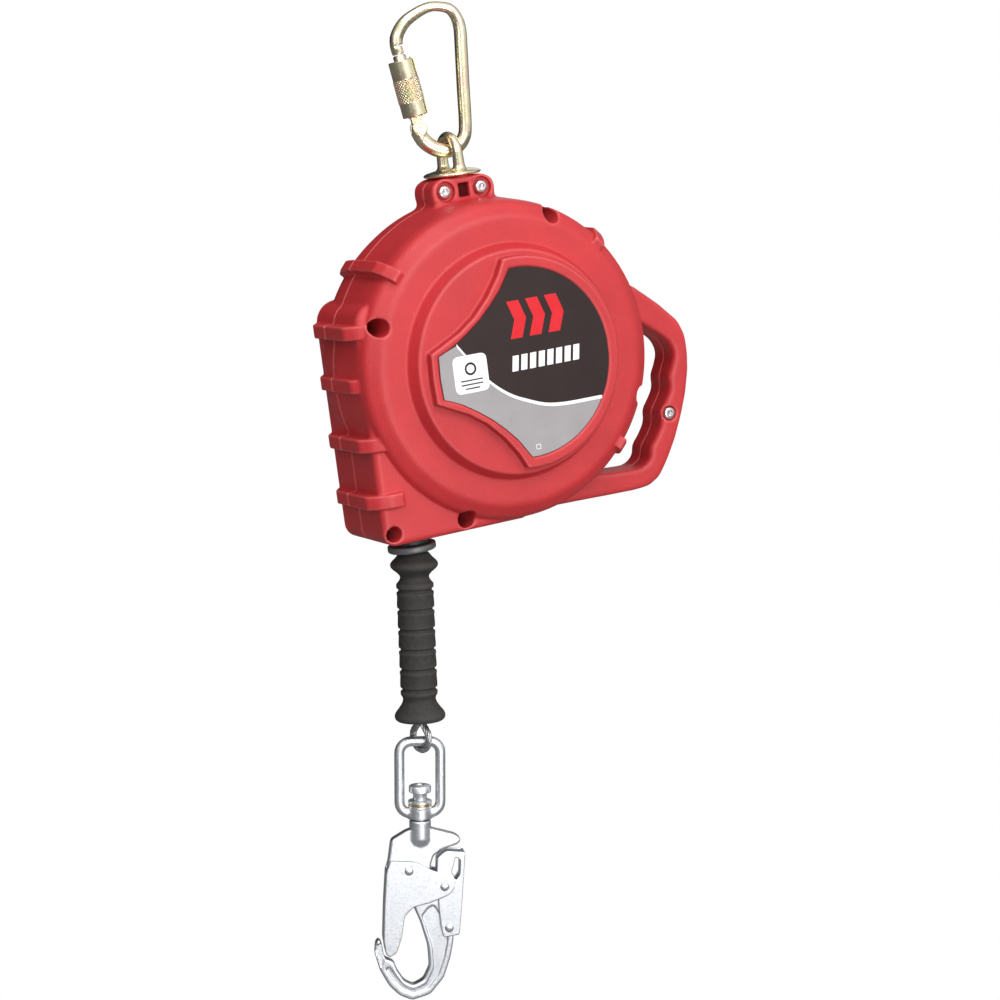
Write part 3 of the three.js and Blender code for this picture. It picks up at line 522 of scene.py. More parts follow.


# the edge tones below are lighter than their bases: painted highlights on convex edges
RED = material("red_plastic", [(0.48, 0.024, 0.029), (0.555, 0.029, 0.034)], 30, (0.40, 0.50),
    grain=(900, 0.24), edge=(0.68, 0.12, 0.12), specular=0.5)
# a dark red standing for the shade inside the lug's window: painted shade
RED_PAINTED_SHADE = material("red_painted_shade", [(0.055, 0.002, 0.003), (0.085, 0.003, 0.004)], 60, (0.6, 0.7),
    specular=0.1)
FILM_BLACK = material("film_black", [(0.022, 0.012, 0.011), (0.027, 0.015, 0.014)], 60, (0.34, 0.40),
    grain=(900, 0.01), specular=0.35)
FILM_GREY = material("film_grey", [(0.32, 0.30, 0.305), (0.355, 0.335, 0.34)], 50, (0.25, 0.33),
    grain=(900, 0.01))
FILM_WHITE = material("film_white", [(0.86, 0.86, 0.86), (0.90, 0.90, 0.90)], 60, (0.28, 0.36),
    grain=(900, 0.01))
FILM_RED = material("film_red", [(0.62, 0.012, 0.02), (0.68, 0.016, 0.025)], 60, (0.25, 0.33),
    grain=(900, 0.01))
GOLD = material("yellow_zinc", [(0.82, 0.71, 0.45), (0.88, 0.84, 0.56), (0.85, 0.66, 0.50),
    (0.72, 0.76, 0.50)], 55, (0.18, 0.30), 1.0, grain=(420, 0.02), edge=(0.88, 0.80, 0.58))
# dark gold for the bottoms of the knurl's grooves: painted shade
GOLD_PAINTED_SHADE = material("knurl_painted_shade", [(0.16, 0.12, 0.05), (0.22, 0.18, 0.08)], 90, (0.5, 0.6), 0.6)
ZINC = material("forged_zinc", [(0.60, 0.63, 0.67), (0.74, 0.76, 0.79), (0.66, 0.66, 0.72)], 320,
    (0.30, 0.46), 1.0, grain=(1100, 0.13), edge=(0.82, 0.84, 0.86))
STEEL = material("bright_steel", [(0.62, 0.62, 0.63), (0.72, 0.72, 0.72)], 180, (0.22, 0.34), 1.0,
    grain=(700, 0.02), edge=(0.85, 0.85, 0.85))
FRAME_STEEL = material("plated_steel", [(0.48, 0.48, 0.50), (0.56, 0.56, 0.56)], 90, (0.30, 0.45), 1.0,
    grain=(500, 0.03))
WIRE = material("galvanised_wire", [(0.32, 0.32, 0.33), (0.55, 0.55, 0.55)], 700, (0.30, 0.45), 1.0,
    grain=(2400, 0.10))
DARK = material("dark_steel", [(0.075, 0.075, 0.08), (0.12, 0.12, 0.125)], 120, (0.38, 0.52), 0.6,
    grain=(800, 0.05), edge=(0.3, 0.3, 0.31))
BRASS = material("brass", [(0.58, 0.40, 0.17), (0.66, 0.48, 0.22)], 200, (0.28, 0.40), 1.0,
    grain=(900, 0.03))
ALUMINIUM = material("aluminium", [(0.66, 0.67, 0.69), (0.74, 0.75, 0.76)], 120, (0.32, 0.46), 1.0,
    grain=(600, 0.03))
BLACK = material("black_plastic", [(0.022, 0.022, 0.023), (0.032, 0.032, 0.033)], 90, (0.42, 0.55),
    grain=(900, 0.04))
RUBBER = material("rubber", [(0.028, 0.025, 0.023), (0.042, 0.039, 0.036)], 260, (0.62, 0.78),
    grain=(1300, 0.12), edge=(0.07, 0.066, 0.062), specular=0.3)

CARRIED = {
    "red": RED, "label": FILM_BLACK, "screw_steel": STEEL, "frame_steel": FRAME_STEEL, "brass": BRASS,
    "aluminium": ALUMINIUM, "rope": WIRE, "dark_steel": DARK, "black_plastic": BLACK, "rubber": RUBBER,
    "gold": GOLD, "forged_zinc": ZINC,
}


def finish_carried():
    """The CAD nodes that stay get the finish of their material slot."""
    for part in frame["record"]["subparts"]:
        looks = bpy.data.objects[part["node"]].data.materials
        looks.clear()
        looks.append(CARRIED[part["material_slot"]])


finish_carried()

# ---- housing --------------------------------------------------------------------------
FRONT_Y, LEAF_Y, PANEL_Y, REAR_Y = -54, -65, -73, 40
DRUM_R = 123.5
HOUSING_STEP, FORGING_STEP = 1.15, 0.55      # grid steps of the clay
SEAM = 0.22                                  # half the gap between the shells
FAR = 200                                    # past the housing on every side
BOX_LEFT, BOX_TOP, BOX_FOOT = -118, 60, -122
BOX_FRONT_Y, BOX_REAR_Y = -41, 36
HEAD_R, HEEL_R = 17, 11                      # the box's corners on the left
SHELL_SCREWS = [(-104, 42), (49, 103.5), (110.5, -45.5), (-50, -112.5), (-110, -112.5)]
COUNTERBORE_R, LUG_BORE_R, HANDLE_BORE_R = 6.9, 7.8, 5.8
SCREW_SEAT_Y = -14
BOX_RIBS = [(40, -104), (0.5, -96), (-44, -101), (-87, -98)]     # height, and where it ends in x
DRUM_RIBS = [(138, 6.5), (42, 4), (-43, 4)]                      # angle, and how far it stands out
RIB_HALF, DRUM_RIB_HALF = 5.25, 4.75
SWIVEL_X = -4.5
LUG_SCREWS = [(SWIVEL_X - 15.4, 129.8), (SWIVEL_X + 15.4, 129.8)]
LUG_SEAT_Y = -12.9
HANDLE_SCREW = (151, -69.5)
COLLAR_X = -79.2
LUG_HALF, HANDLE_HALF = 17, 17

DRUM_FRONT = [(-20, FRONT_Y), (108.5, FRONT_Y), (119, -46), (121, -38), (DRUM_R, 0)]
DRUM_PROFILE = [
    (-20, FRONT_Y), *rounded(DRUM_FRONT, 3.5, closed=False)[1:-1], (DRUM_R, -1), (DRUM_R, 1), (122.2, 18),
    (118.5, 30), (110, 37.5), (99, REAR_Y), (-20, REAR_Y),
]
BOSS_PROFILE = [(-20, LEAF_Y), (83.2, LEAF_Y), (84.2, LEAF_Y + 0.9), (88.5, FRONT_Y), (88.5, FRONT_Y + 3),
    (-20, FRONT_Y + 3)]
HANDLE_OUTER = [
    (90, 49), (131, 36), (153, 18), (169, 2), (174, -10), (174.6, -24), (173.2, -38), (168.7, -56),
    (162.7, -72), (154.5, -90), (145, -106), (136, -118), (126, -123.5), (112, -124.5), (30, -122.5),
    (0, -122), (0, -100),
]
HANDLE_INNER = [
    (112, 20), (136.5, 4), (148, -4.5), (158.5, -13), (162.5, -24), (158.5, -34), (154.5, -41), (155, -51),
    (149.5, -59.5), (143.5, -67), (143.5, -77), (137, -86.5), (130.5, -93.5), (129.5, -102), (121, -108),
    (108, -107.5), (84, -105.5), (60, -100),
]
LUG_OUTLINE = rounded([
    (-44, 105), (36, 105), (24.5, 113.5), (20.8, 120.5), (22.4, 129), (20.5, 136), (13, 140), (-22, 140),
    (-29.5, 136), (-31.4, 129), (-29.8, 120.5), (-33.5, 113.5),
], 5)
BOX_OUTLINE = ([(0, BOX_FOOT), (0, BOX_TOP)] + arc(BOX_LEFT + HEAD_R, BOX_TOP - HEAD_R, HEAD_R, 90, 180, 8)
               + arc(BOX_LEFT + HEEL_R, BOX_FOOT + HEEL_R, HEEL_R, 180, 270, 8))
PANEL_FLANK = [(-76, 18.6), (-64, 24.2), (-50.8, 30.5), (-37, 40.1), (-24.3, 52.9), (-14, 66.8), (-8, 78.6)]
LABEL_FLANK = [(-70.5, 15.9), (-62.6, 19.0), (-55.3, 22.4), (-44.2, 29.3), (-33.2, 37.3), (-23.2, 46.3),
    (-13.8, 56.4), (-4, 71.0)]


def fan(flank, grow=0.0):
    """A stretch of the boss's circle, closed on the left by two concave flanks and a short edge."""
    r = math.hypot(*flank[-1])
    tip = math.degrees(math.atan2(flank[-1][1], flank[-1][0]))
    upper = flank[:-1] + arc(0, 0, r, tip, 0, 20)[:-1]
    return [(x * (1 + grow / 75), z * (1 + grow / 75)) for x, z in [(flank[0][0] - 0.8, 0)]
        + mirrored(upper)]


def add_ribs(clay):
    for z, end in BOX_RIBS:
        rib = [(end, -38), (end - 1.5, -45), (-110, -45), (-119, -41), (-126, -33), (-126, 22), (-118, 33),
            (end, 38)]
        form = shelf(rounded(rib, 3), z, RIB_HALF, 1)
        clay.add(form, 0.8, low=(-FAR, -80, z - 14), high=(-80, 60, z + 14))
    for angle, proud in DRUM_RIBS:
        r = DRUM_R + proud
        profile = [(105, -50), (116, -55), (r - 6, -47), (r - 1.5, -38), (r, 0), (r - 2, 20), (r - 8, 33),
            (105, 36)]
        clay.add(spoke(rounded(profile, 1.6), angle, DRUM_RIB_HALF, 0.9), 1.0)


def housing_clay():
    clay = Clay((-130, -76, -126), (179, 41, 142), HOUSING_STEP)
    clay.add(turned(DRUM_PROFILE))
    clay.add(slab(BOX_OUTLINE, BOX_FRONT_Y, BOX_REAR_Y, 5), 1.2, high=(5, 60, 75))
    add_ribs(clay)
    clay.add(slab(LUG_OUTLINE, -LUG_HALF, LUG_HALF, 3), 4, low=(-60, -80, 95))
    handle = Clay((-4, -22, -127), (179, 22, 55), HOUSING_STEP)
    handle.add(slab(rounded(HANDLE_OUTER, 4), -HANDLE_HALF, HANDLE_HALF, 4))
    handle.carve(slab(rounded(HANDLE_INNER, 7), -40, 40, 0.1), 5)
    clay.add(transplant(handle), 3, low=(0, -21, -125.5), high=(179, 21, 54))
    clay.add(turned(BOSS_PROFILE), 0.9, high=(FAR, -40, FAR))
    clay.add(slab(fan(PANEL_FLANK), PANEL_Y, LEAF_Y + 4, 1.0), 0.8, high=(FAR, -50, FAR))
    return clay


def carve_bore(clay, at, radius, seat, fillet, back=0):
    """A counterbore from the front down to a screw's seat."""
    x, z = at
    clay.carve(rod(at, radius, -90, seat), fillet, low=(x - 12, -80, z - 12), high=(x + 12, back, z + 12))


def build_housing():
    clay = housing_clay()
    bed = slab(fan(LABEL_FLANK, 0.7), PANEL_Y - 4, PANEL_Y + 1.1, 0.1)
    clay.carve(bed, 0.4, high=(FAR, -60, FAR))
    for at in SHELL_SCREWS:
        radius = min(COUNTERBORE_R, at[0] - BOX_LEFT - 1.9)
        carve_bore(clay, at, radius, SCREW_SEAT_Y, 0.8, 20)
    for at in LUG_SCREWS:
        carve_bore(clay, at, LUG_BORE_R, LUG_SEAT_Y, 0.7)
    carve_bore(clay, HANDLE_SCREW, HANDLE_BORE_R, SCREW_SEAT_Y, 0.8)
    window = slab(box_outline(SWIVEL_X - 4.5, 124.5, SWIVEL_X + 4.5, 135), -40, -12.4, 0.1)
    clay.carve(window, 0.8, low=(-20, -40, 110), high=(15, 0, 142))
    spindle = rod((SWIVEL_X, 0), 8, 128, 150, "z")
    clay.carve(spindle, 0.8, low=(-20, -20, 125))
    exit_hole = rod((COLLAR_X, 0), 15.4, -140, -118, "z")
    clay.carve(exit_hole, 0.8, low=(-100, -30, -140), high=(-60, 30, -110))
    for name, side, node in (("housing_front", 1, "front_shell"), ("housing_rear", -1, "rear_shell")):
        verts, quads = clay.mesh(lambda x, y, z: side * y + SEAM + 0 * x + 0 * z)
        piece(name, verts, quads, HOUSING, "housing", RED, [node], "red", crease=0)


def build_window_shade_plate():
    """The web behind the window in the lug: a dark-red plate, its colour painted shade."""
    x0, x1, y0, y1, z0, z1 = SWIVEL_X - 5.6, SWIVEL_X + 5.6, -13.1, -12.2, 123.4, 136.1
    verts = [(x, y, z) for x in (x0, x1) for y in (y0, y1) for z in (z0, z1)]
    faces = [[0, 1, 3, 2], [4, 6, 7, 5], [0, 4, 5, 1], [2, 3, 7, 6], [0, 2, 6, 4], [1, 5, 7, 3]]
    piece("lug_window_painted_shade", verts, faces, HOUSING, "housing", RED_PAINTED_SHADE, slot="red")


build_housing()
build_window_shade_plate()


# ---- label ----------------------------------------------------------------------------
def flat(points, y0, y1):
    """A thin plate from an x-z outline, its front at y0."""
    count = len(points)
    verts = [(x, y0, z) for x, z in points] + [(x, y1, z) for x, z in points]
    faces = [list(range(count)), [count + i for i in reversed(range(count))]]
    for i in range(count):
        n = (i + 1) % count
        faces.append([i, i + count, n + count, n])
    area = sum(points[i][0] * points[(i + 1) % count][1] - points[(i + 1) % count][0] * points[i][1]
        for i in range(count))
    if area < 0:
        faces = [face[::-1] for face in faces]
    return verts, faces


DIVIDER = rounded([(-54.8, 21.6), (-31.7, -9.9), (-15, -23), (12, -34.2), (30, -36.2), (60.8, -36.3)], 9, 6,
    closed=False)
LABEL_Y = PANEL_Y + 0.25
PRINT, BADGE, BADGE_PRINT = 0.09, 0.12, 0.16     # how far each layer stands on the film


def printed(name, outlines, finish, lift=PRINT):
    """Marks that stand a little proud of the label film."""
    marks = [flat(outline, LABEL_Y - lift, LABEL_Y) for outline in outlines]
    piece(name, *merged(*marks), HOUSING, "housing", finish, slot="label")


def build_label():
    film = flat(fan(LABEL_FLANK), LABEL_Y, PANEL_Y + 0.9)
    piece("label_film", *film, HOUSING, "housing", FILM_BLACK, ["front_label"], "label")
    grey = flat(grey_field(fan(LABEL_FLANK, -0.4)), LABEL_Y - 0.05, LABEL_Y + 0.1)
    piece("label_grey", *grey, HOUSING, "housing", FILM_GREY, slot="label")
    divider = [(x, z + 1.3) for x, z in DIVIDER] + [(x, z - 1.3) for x, z in reversed(DIVIDER)]
    printed("label_divider", [divider], FILM_WHITE)
    printed("label_badge", [rounded(box_outline(-60, -14.5, -32, 13.5), 5)], FILM_WHITE, BADGE)
    marks = [ring_part(-46, 3.2, 3.2, 4.8, a, a + 60) for a in range(0, 360, 60)]
    marks += [box_outline(-46 - half, z - 0.5, -46 + half, z + 0.5)
        for z, half in ((-5.2, 9), (-8.2, 9), (-11.2, 6))]
    printed("label_badge_marks", marks, FILM_BLACK, BADGE_PRINT)
    chevrons = [[(x, 19), (x + 10, 19), (x + 15, 33), (x + 10, 47), (x, 47), (x + 5, 33)]
        for x in (-10, 6, 22)]
    printed("label_red_marks", chevrons, FILM_RED)
    blocks = [[(x, -5), (x + 5.2, -5), (x + 7, 6.5), (x + 1.8, 6.5)] for x in np.arange(-12, 40, 7.4)]
    printed("label_white_lines", blocks, FILM_WHITE)
    strips = [(0, -66, 4, -65.5), (0, -62.5, 4, -62), (0, -66, 0.5, -62), (3.5, -66, 4, -62)]
    printed("label_tick_box", [box_outline(*strip) for strip in strips], FILM_WHITE)


def ring_part(cx, cz, inner, outer, a0, a1):
    return arc(cx, cz, outer, a0, a1, 6) + arc(cx, cz, inner, a1, a0, 6)


def grey_field(film):
    """The part of the label under the divider: it follows the divider, then the film's edge."""
    lower = [p for p in film if under_divider(p)]
    start = min(range(len(lower)), key=lambda i: math.dist(lower[i], DIVIDER[-1]))
    lower = lower[start:] + lower[:start]
    if math.dist(lower[1], DIVIDER[-1]) > math.dist(lower[-1], DIVIDER[-1]):
        lower = [lower[0]] + lower[1:][::-1]
    return DIVIDER + lower


def under_divider(p):
    xs = [q[0] for q in DIVIDER]
    zs = [q[1] for q in DIVIDER]
    return p[1] < np.interp(p[0], xs, zs) - 0.5 if p[0] > xs[0] else p[1] < zs[0]


build_label()


# ---- screws ---------------------------------------------------------------------------
def socket_head(radius, height, socket):
    """A button head with a hexagon socket, its seat at z = 0 and its dome towards +z."""
    def hexagon(a):
        return socket / math.cos((a % (math.pi / 3)) - math.pi / 6)

    rows = [("round", radius * 0.3, 0), ("round", radius - 0.2, 0), ("round", radius, 0.3),
        ("round", radius, height * 0.35)]
    for t in (0.2, 0.4, 0.6, 0.8):
        a = t * math.pi / 2
        rows.append(("round", radius * (0.62 + 0.38 * math.cos(a)), height * (0.35 + 0.65 * math.sin(a))))
    rows += [("round", socket * 1.35, height), ("hex", 1.12, height), ("hex", 1.0, height - 0.2),
        ("hex", 1.0, height * 0.3), ("hex", 0.4, height * 0.22)]
    skin = []
    for kind, r, z in rows:
        radii = [r if kind == "round" else r * hexagon(a) for a in around(48)]
        skin.append([(reach * math.cos(a), reach * math.sin(a), z) for reach, a in zip(radii, around(48))])
    return rings(skin)


def build_screws():
    """Every screw, with the radius and height of its head, its socket and its shank's length."""
    under_head = SCREW_SEAT_Y - 0.3
    placed = [(f"shell_screw_{i + 1}", at, under_head, (4.6, 4, 1.9, 36))
        for i, at in enumerate(SHELL_SCREWS)]
    placed.append(("handle_screw", HANDLE_SCREW, under_head, (5, 2.9, 2.1, 24)))
    for name, at in zip(("lug_screw_left", "lug_screw_right"), LUG_SCREWS):
        placed.append((name, at, LUG_SEAT_Y, (5.2, 3.4, 2.1, 30)))
    for name, (x, z), seat, (radius, height, socket, shank) in placed:
        stem = lathe([(2.3, -shank + 1), (2.5, -shank + 2), (2.5, 0.2)], 24)
        screw = moved(merged(socket_head(radius, height, socket), stem),
            Matrix.Translation((x, seat, z)) @ TO_FRONT)
        piece(name + "_detail", *screw, HOUSING, "housing", STEEL, [name], "screw_steel", crease=35)


build_screws()


# ---- swivel eye -----------------------------------------------------------------------
EYE_YAW = 4


def build_eye():
    top = 140.6
    spread_y, bar = 11.8, 3.9
    centre = top + 4.5 + 12.9
    clay = Clay((-23, -23, 128), (23, 23, 175), FORGING_STEP)
    flange = [(-5, top), (20.6, top), (21.9, top + 0.9), (21.7, top + 2.1), (20, top + 3.1),
        (14, top + 4.4), (8, top + 5.2), (-5, top + 5.6)]
    clay.add(turned(flange, along="z"), 0.6)
    clay.add(rod((0, 0), 6, 130, top + 1, "z"), 0.8)
    arch = [(-spread_y, top + 2)] + arc(0, centre, spread_y, 180, 0, 18) + [(spread_y, top + 2)]
    bend = wire(arch, [bar + 0.8, bar + 0.1] + [bar] * 17 + [bar + 0.1, bar + 0.8])
    clay.add(lambda x, y, z: bend(y, x, z), 3.5)
    turn = HOUSING @ Matrix.Translation((SWIVEL_X, 0, 0)) @ Matrix.Rotation(math.radians(EYE_YAW), 4, "Z")
    piece("swivel_eye_forged", *clay.mesh(), turn, "eye", GOLD, ["swivel_eye"], "gold", crease=0)


build_eye()

# ---- carabiner ------------------------------------------------------------------------
GATE_HINGE, GATE_NOSE = (-16.2, -86.5), (-31.2, -33)
BOW = [
    (-31.4, -32.3), (-33.2, -25.8), (-32.7, -18.5), (-27, -8.8), (-17, -1.2), (-8, 3.0), (0, 3.6), (8, 1.9),
    (13.3, -4.4), (15.9, -13), (16.9, -28), (18.4, -56), (20, -84), (18.6, -94), (13, -100.6), (5, -103.4),
    (-4, -101.8), (-12, -96.6), (-16.4, -90.8),
]
BOW_R = [4.7, 4.9, 4.9, 4.6, 4.1, 3.7, 3.7, 4.1, 4.5, 4.8, 4.9, 4.9, 4.9, 5.1, 5.5, 5.7, 5.8, 5.8, 5.4]


def gate_frame():
    lean = math.atan2(GATE_NOSE[0] - GATE_HINGE[0], GATE_NOSE[1] - GATE_HINGE[1])
    return Matrix.Translation((GATE_HINGE[0], 0, GATE_HINGE[1])) @ Matrix.Rotation(lean, 4, "Y")


GATE = CARABINER @ gate_frame()
GATE_LENGTH = math.dist(GATE_HINGE, GATE_NOSE)


def build_carabiner():
    line = resampled([(*p, r) for p, r in zip(BOW, BOW_R)], 3.0)
    clay = Clay((-39, -8, -110), (26, 8, 9), FORGING_STEP)
    clay.add(wire([(u, w) for u, w, r in line], [r for u, w, r in line]))
    clay.add(rod(GATE_HINGE, 5.6, -4.9, 4.9), 3.0)
    inverse = gate_frame().inverted()

    def along_gate(box):
        m = np.array(inverse)

        def form(x, y, z):
            u = m[0, 0] * x + m[0, 2] * z + m[0, 3]
            w = m[2, 0] * x + m[2, 2] * z + m[2, 3]
            return box(u, y, w)
        return form

    def brick(lo, hi):
        def form(u, y, w):
            sizes = [np.abs(v - (a + b) / 2) - (b - a) / 2 for v, a, b in zip((u, y, w), lo, hi)]
            return np.maximum(np.maximum(sizes[0] + 0 * y, sizes[2] + 0 * y), sizes[1] + 0 * u)
        return form

    clay.carve(along_gate(brick((-9, -2.5, -2), (9, 2.5, 22))), 0.4)
    clay.carve(rod(GATE_HINGE, 6.9, -2.5, 2.5), 0.4)
    nose = GATE_LENGTH + 0.6
    clay.carve(along_gate(brick((-14, -14, nose - 16), (14, 14, nose))), 0.5)
    clay.carve(along_gate(brick((-2.2, -12, nose + 5.4), (12, 12, nose + 6.6))), 0.4)
    clay.carve(along_gate(brick((3.6, -12, nose - 2), (12, 12, nose + 6.2))), 0.5)
    piece("carabiner_forged", *clay.mesh(), CARABINER, "carabiner", GOLD, ["carabiner_body"], "gold",
        crease=0)

    pin = moved(lathe([(1.2, -5.4), (1.8, -5.2), (2, -4.9), (2, 4.9), (1.8, 5.2), (1.2, 5.4)], 24),
                Matrix.Translation((GATE_HINGE[0], 0, GATE_HINGE[1])) @ TO_FRONT)
    piece("gate_pin_detail", *pin, CARABINER, "carabiner", GOLD, ["gate_pin"], "gold")

    barrel = lathe([(4.8, 8), (5.6, 8.3), (5.9, 9), (5.9, 49.6), (5.6, 50.4), (4.9, 50.6),
        (4.9, GATE_LENGTH - 1), (4.2, GATE_LENGTH)], 40)
    tongue = rounded([(-4.2, 12), (-4.2, 0), (-3.2, -3.6), (0, -5), (3.2, -3.6), (4.2, 0), (4.2, 12)], 1.5)
    plate = flat(tongue, -2.1, 2.1)
    piece("carabiner_gate_barrel", *merged(barrel, plate), GATE, "carabiner_gate_arm", GOLD,
        ["carabiner_gate"], "gold")
    build_sleeve()


KNURLS, KNURL_TWIST, KNURL_DEPTH = 13, 1.25, 0.85     # half the count, radians per mm, mm


def build_sleeve():
    """A locking sleeve: knurled in the middle, with plain slotted ends, and a dark core as painted shade in
    the grooves.
    """
    low, high, outer, inner = 9, 51.5, 10.1, 6.4
    band = (19.5, 37.5)
    sides, rows = 160, []
    for z in np.arange(low, high + 0.01, 0.34):
        row = []
        for a in around(sides):
            r = outer - 0.55
            if band[0] < z < band[1]:
                edge = min(z - band[0], band[1] - z, 0.7) / 0.7
                ridge = max(abs(math.sin(KNURLS * a + KNURL_TWIST * z)),
                    abs(math.sin(KNURLS * a - KNURL_TWIST * z)))
                r = outer - 0.55 * (1 - edge) - KNURL_DEPTH * ridge ** 2 * edge
            chamfer = max(0.0, 0.6 - (z - low), 0.6 - (high - z))
            row.append(((r - chamfer) * math.cos(a), (r - chamfer) * math.sin(a), z))
        rows.append(row)
    bore = [[(inner * math.cos(a), inner * math.sin(a), z) for a in around(sides)] for z in (high, low)]
    verts, faces = rings(rows + bore, closed=True)

    def open_at(face):
        x, y, z = np.mean([verts[i] for i in face], 0)
        radius = math.hypot(x, y)
        if radius < inner + 0.4 or x < 0:
            return False
        return (z > high - 13 and abs(y) < 2.9) or (z < low + 10.5 and abs(y) < 2.3)

    kept = [face for face in faces if not open_at(face)]
    walls = []
    for z0, z1, half in ((high - 13, high, 2.9), (low, low + 10.5, 2.3)):
        xo, xi = math.sqrt((outer - 0.6) ** 2 - half ** 2), math.sqrt(inner ** 2 - half ** 2)
        for s in (-1, 1):
            walls.append(([(xi, s * half, z0), (xo, s * half, z0), (xo, s * half, z1), (xi, s * half, z1)],
                [[0, 1, 2, 3]]))
    skin = merged((verts, kept), *walls)
    # a dark cylinder just under the knurl, showing in the grooves' bottoms: painted shade in the grooves
    core = lathe([(outer - 1.6, band[0] + 0.4), (outer - 0.8, band[0] + 0.6), (outer - 0.8, band[1] - 0.6),
                  (outer - 1.6, band[1] - 0.4), (outer - 1.6, band[0] + 0.4)], 80)
    ear = flat(rounded(box_outline(7.5, high - 11, 10.6, high + 0.8), 1), -2.1, 2.1)
    tab = flat(rounded(box_outline(7.2, low - 0.6, 10.3, low + 9.5), 1), -1.7, 1.7)
    piece("carabiner_sleeve_knurled", *merged(skin, ear, tab), GATE, "lock_sleeve", GOLD,
        ["carabiner_sleeve"], "gold", crease=32)
    piece("sleeve_knurl_painted_shade", *core, GATE, "lock_sleeve", GOLD_PAINTED_SHADE, slot="gold")


build_carabiner()


# ---- collar, grip and rope ------------------------------------------------------------
ROPE_R, LOOP_ROPE_R = 2.4, 2.75
GRIP_GROOVES = (106, 90.5, 75, 59.5, 44, 29)     # below the grip's origin


def build_lifeline():
    collar = moved(lathe([(7, -135.2), (17.6, -135.2), (18.4, -134.6), (18.6, -133.8), (18.6, -131.0),
        (18.2, -130.3), (15.2, -129.5), (7, -129.3), (7, -135.2)], 64),
        Matrix.Translation((COLLAR_X, 0, 0)))
    piece("cable_collar_turned", *collar, HOUSING, "housing", DARK, ["cable_collar"], "dark_steel")

    profile = [(3.6, -131), (15.8, -131), (17.6, -130.6), (19.0, -129.4), (19.6, -127.8), (19.5, -126.2),
        (18.6, -124.2), (16.2, -121.2), (14.0, -118), (12.9, -115.6), (12.6, -113.6), (13.3, -111.4)]
    for s in GRIP_GROOVES:
        profile += [(14.0, -s - 4.6), (14.35, -s - 3), (14.2, -s - 1.7), (13.2, -s - 1.1), (12.9, -s - 0.5),
            (12.9, -s + 0.5), (13.2, -s + 1.1), (14.2, -s + 1.7), (14.35, -s + 3), (14.35, -s + 4.6)]
    profile += [(13.0, -22.9), (11.6, -20.9), (11.1, -19.2), (11.5, -17.6), (13.6, -15.2), (16.4, -13.0),
        (18.0, -11.2), (18.4, -9.6), (18.1, -8.2), (16.8, -6.4), (14.6, -4.4), (12.8, -2.2), (11.6, -0.6),
        (10.8, 0), (3.6, 0), (3.6, -131)]
    piece("grip_moulded", *lathe(profile, 64), LIFELINE, "lifeline", RUBBER, ["grip"], "rubber", crease=50)

    run = stranded([(0, 0, z) for z in (140, 80, 0, -60, -112)], ROPE_R)
    piece("cable_stranded", *run, LIFELINE, "lifeline", WIRE, ["cable_run"], "rope")
    radius, drop = 9.6, 156.5
    centre = -drop + ROPE_R + radius
    bend = [(0, v, z) for v, z in arc(0, centre, radius, 150, 390, 14)]
    path = [(0, -3, -131.9), (0, -4.2, -134.9)] + bend + [(0, 4.2, -134.9), (0, 3, -131.9)]
    loop = moved(stranded(path, LOOP_ROPE_R), Matrix.Rotation(math.radians(13), 4, "Z"))
    piece("cable_loop_stranded", *loop, LIFELINE, "lifeline", WIRE, ["cable_loop"], "rope")


build_lifeline()

# ---- ring, swivel pin and snap hook ---------------------------------------------------
HOOK_HALF, PLATE, GAP = 4.8, 1.6, 0.3
RIVETS = {"gate_rivet": (-9.5, -103.3), "gate_tail_rivet": (18.1, -116.6), "lever_rivet": (21.9, -149.8)}
HOOK_OUTLINE = [
    (-23, -79.5), (-10.2, -72), (7.7, -71), (27.2, -76.4), (31.8, -80.5), (29, -84.5), (17, -88), (10, -93),
    (7.5, -102), (10, -118), (18, -133), (25, -146), (25.6, -160), (23.1, -174), (18, -190), (7.3, -203),
    (-6.8, -207.3), (-17, -203), (-25, -195), (-32, -182.5), (-36, -169), (-35.4, -160.5), (-33, -157.6),
    (-30.6, -160), (-28.6, -172.5), (-21, -176), (-18.5, -183), (-13, -191.5), (-6, -195.3), (2, -191),
    (6.6, -181), (5.4, -165), (-0.5, -145), (-7, -130), (-17, -108), (-26, -101.5),
]


def build_ring():
    half, top, foot, corner, bar = 15.9, -3.2, -59.8, 9, 3.9
    path = (arc(half - corner, top - corner, corner, 0, 90, 6)
        + arc(corner - half, top - corner, corner, 90, 180, 6)
        + arc(corner - half, foot + corner, corner, 180, 270, 6)
        + arc(half - corner, foot + corner, corner, 270, 360, 6))
    clay = Clay((-21, -10, -66), (21, 10, 2), 0.5)
    clay.add(wire(path, [bar] * len(path), closed=True))
    clay.add(rod((0, 0), 8.3, foot - 4, foot + 4, "z"), 3)
    clay.carve(rod((0, 0), 5.7, foot - 10, foot + 10, "z"), 0.6)
    piece("swivel_ring_forged", *clay.mesh(), HOOK, "ring", ZINC, ["swivel_ring"], "forged_zinc", crease=0)


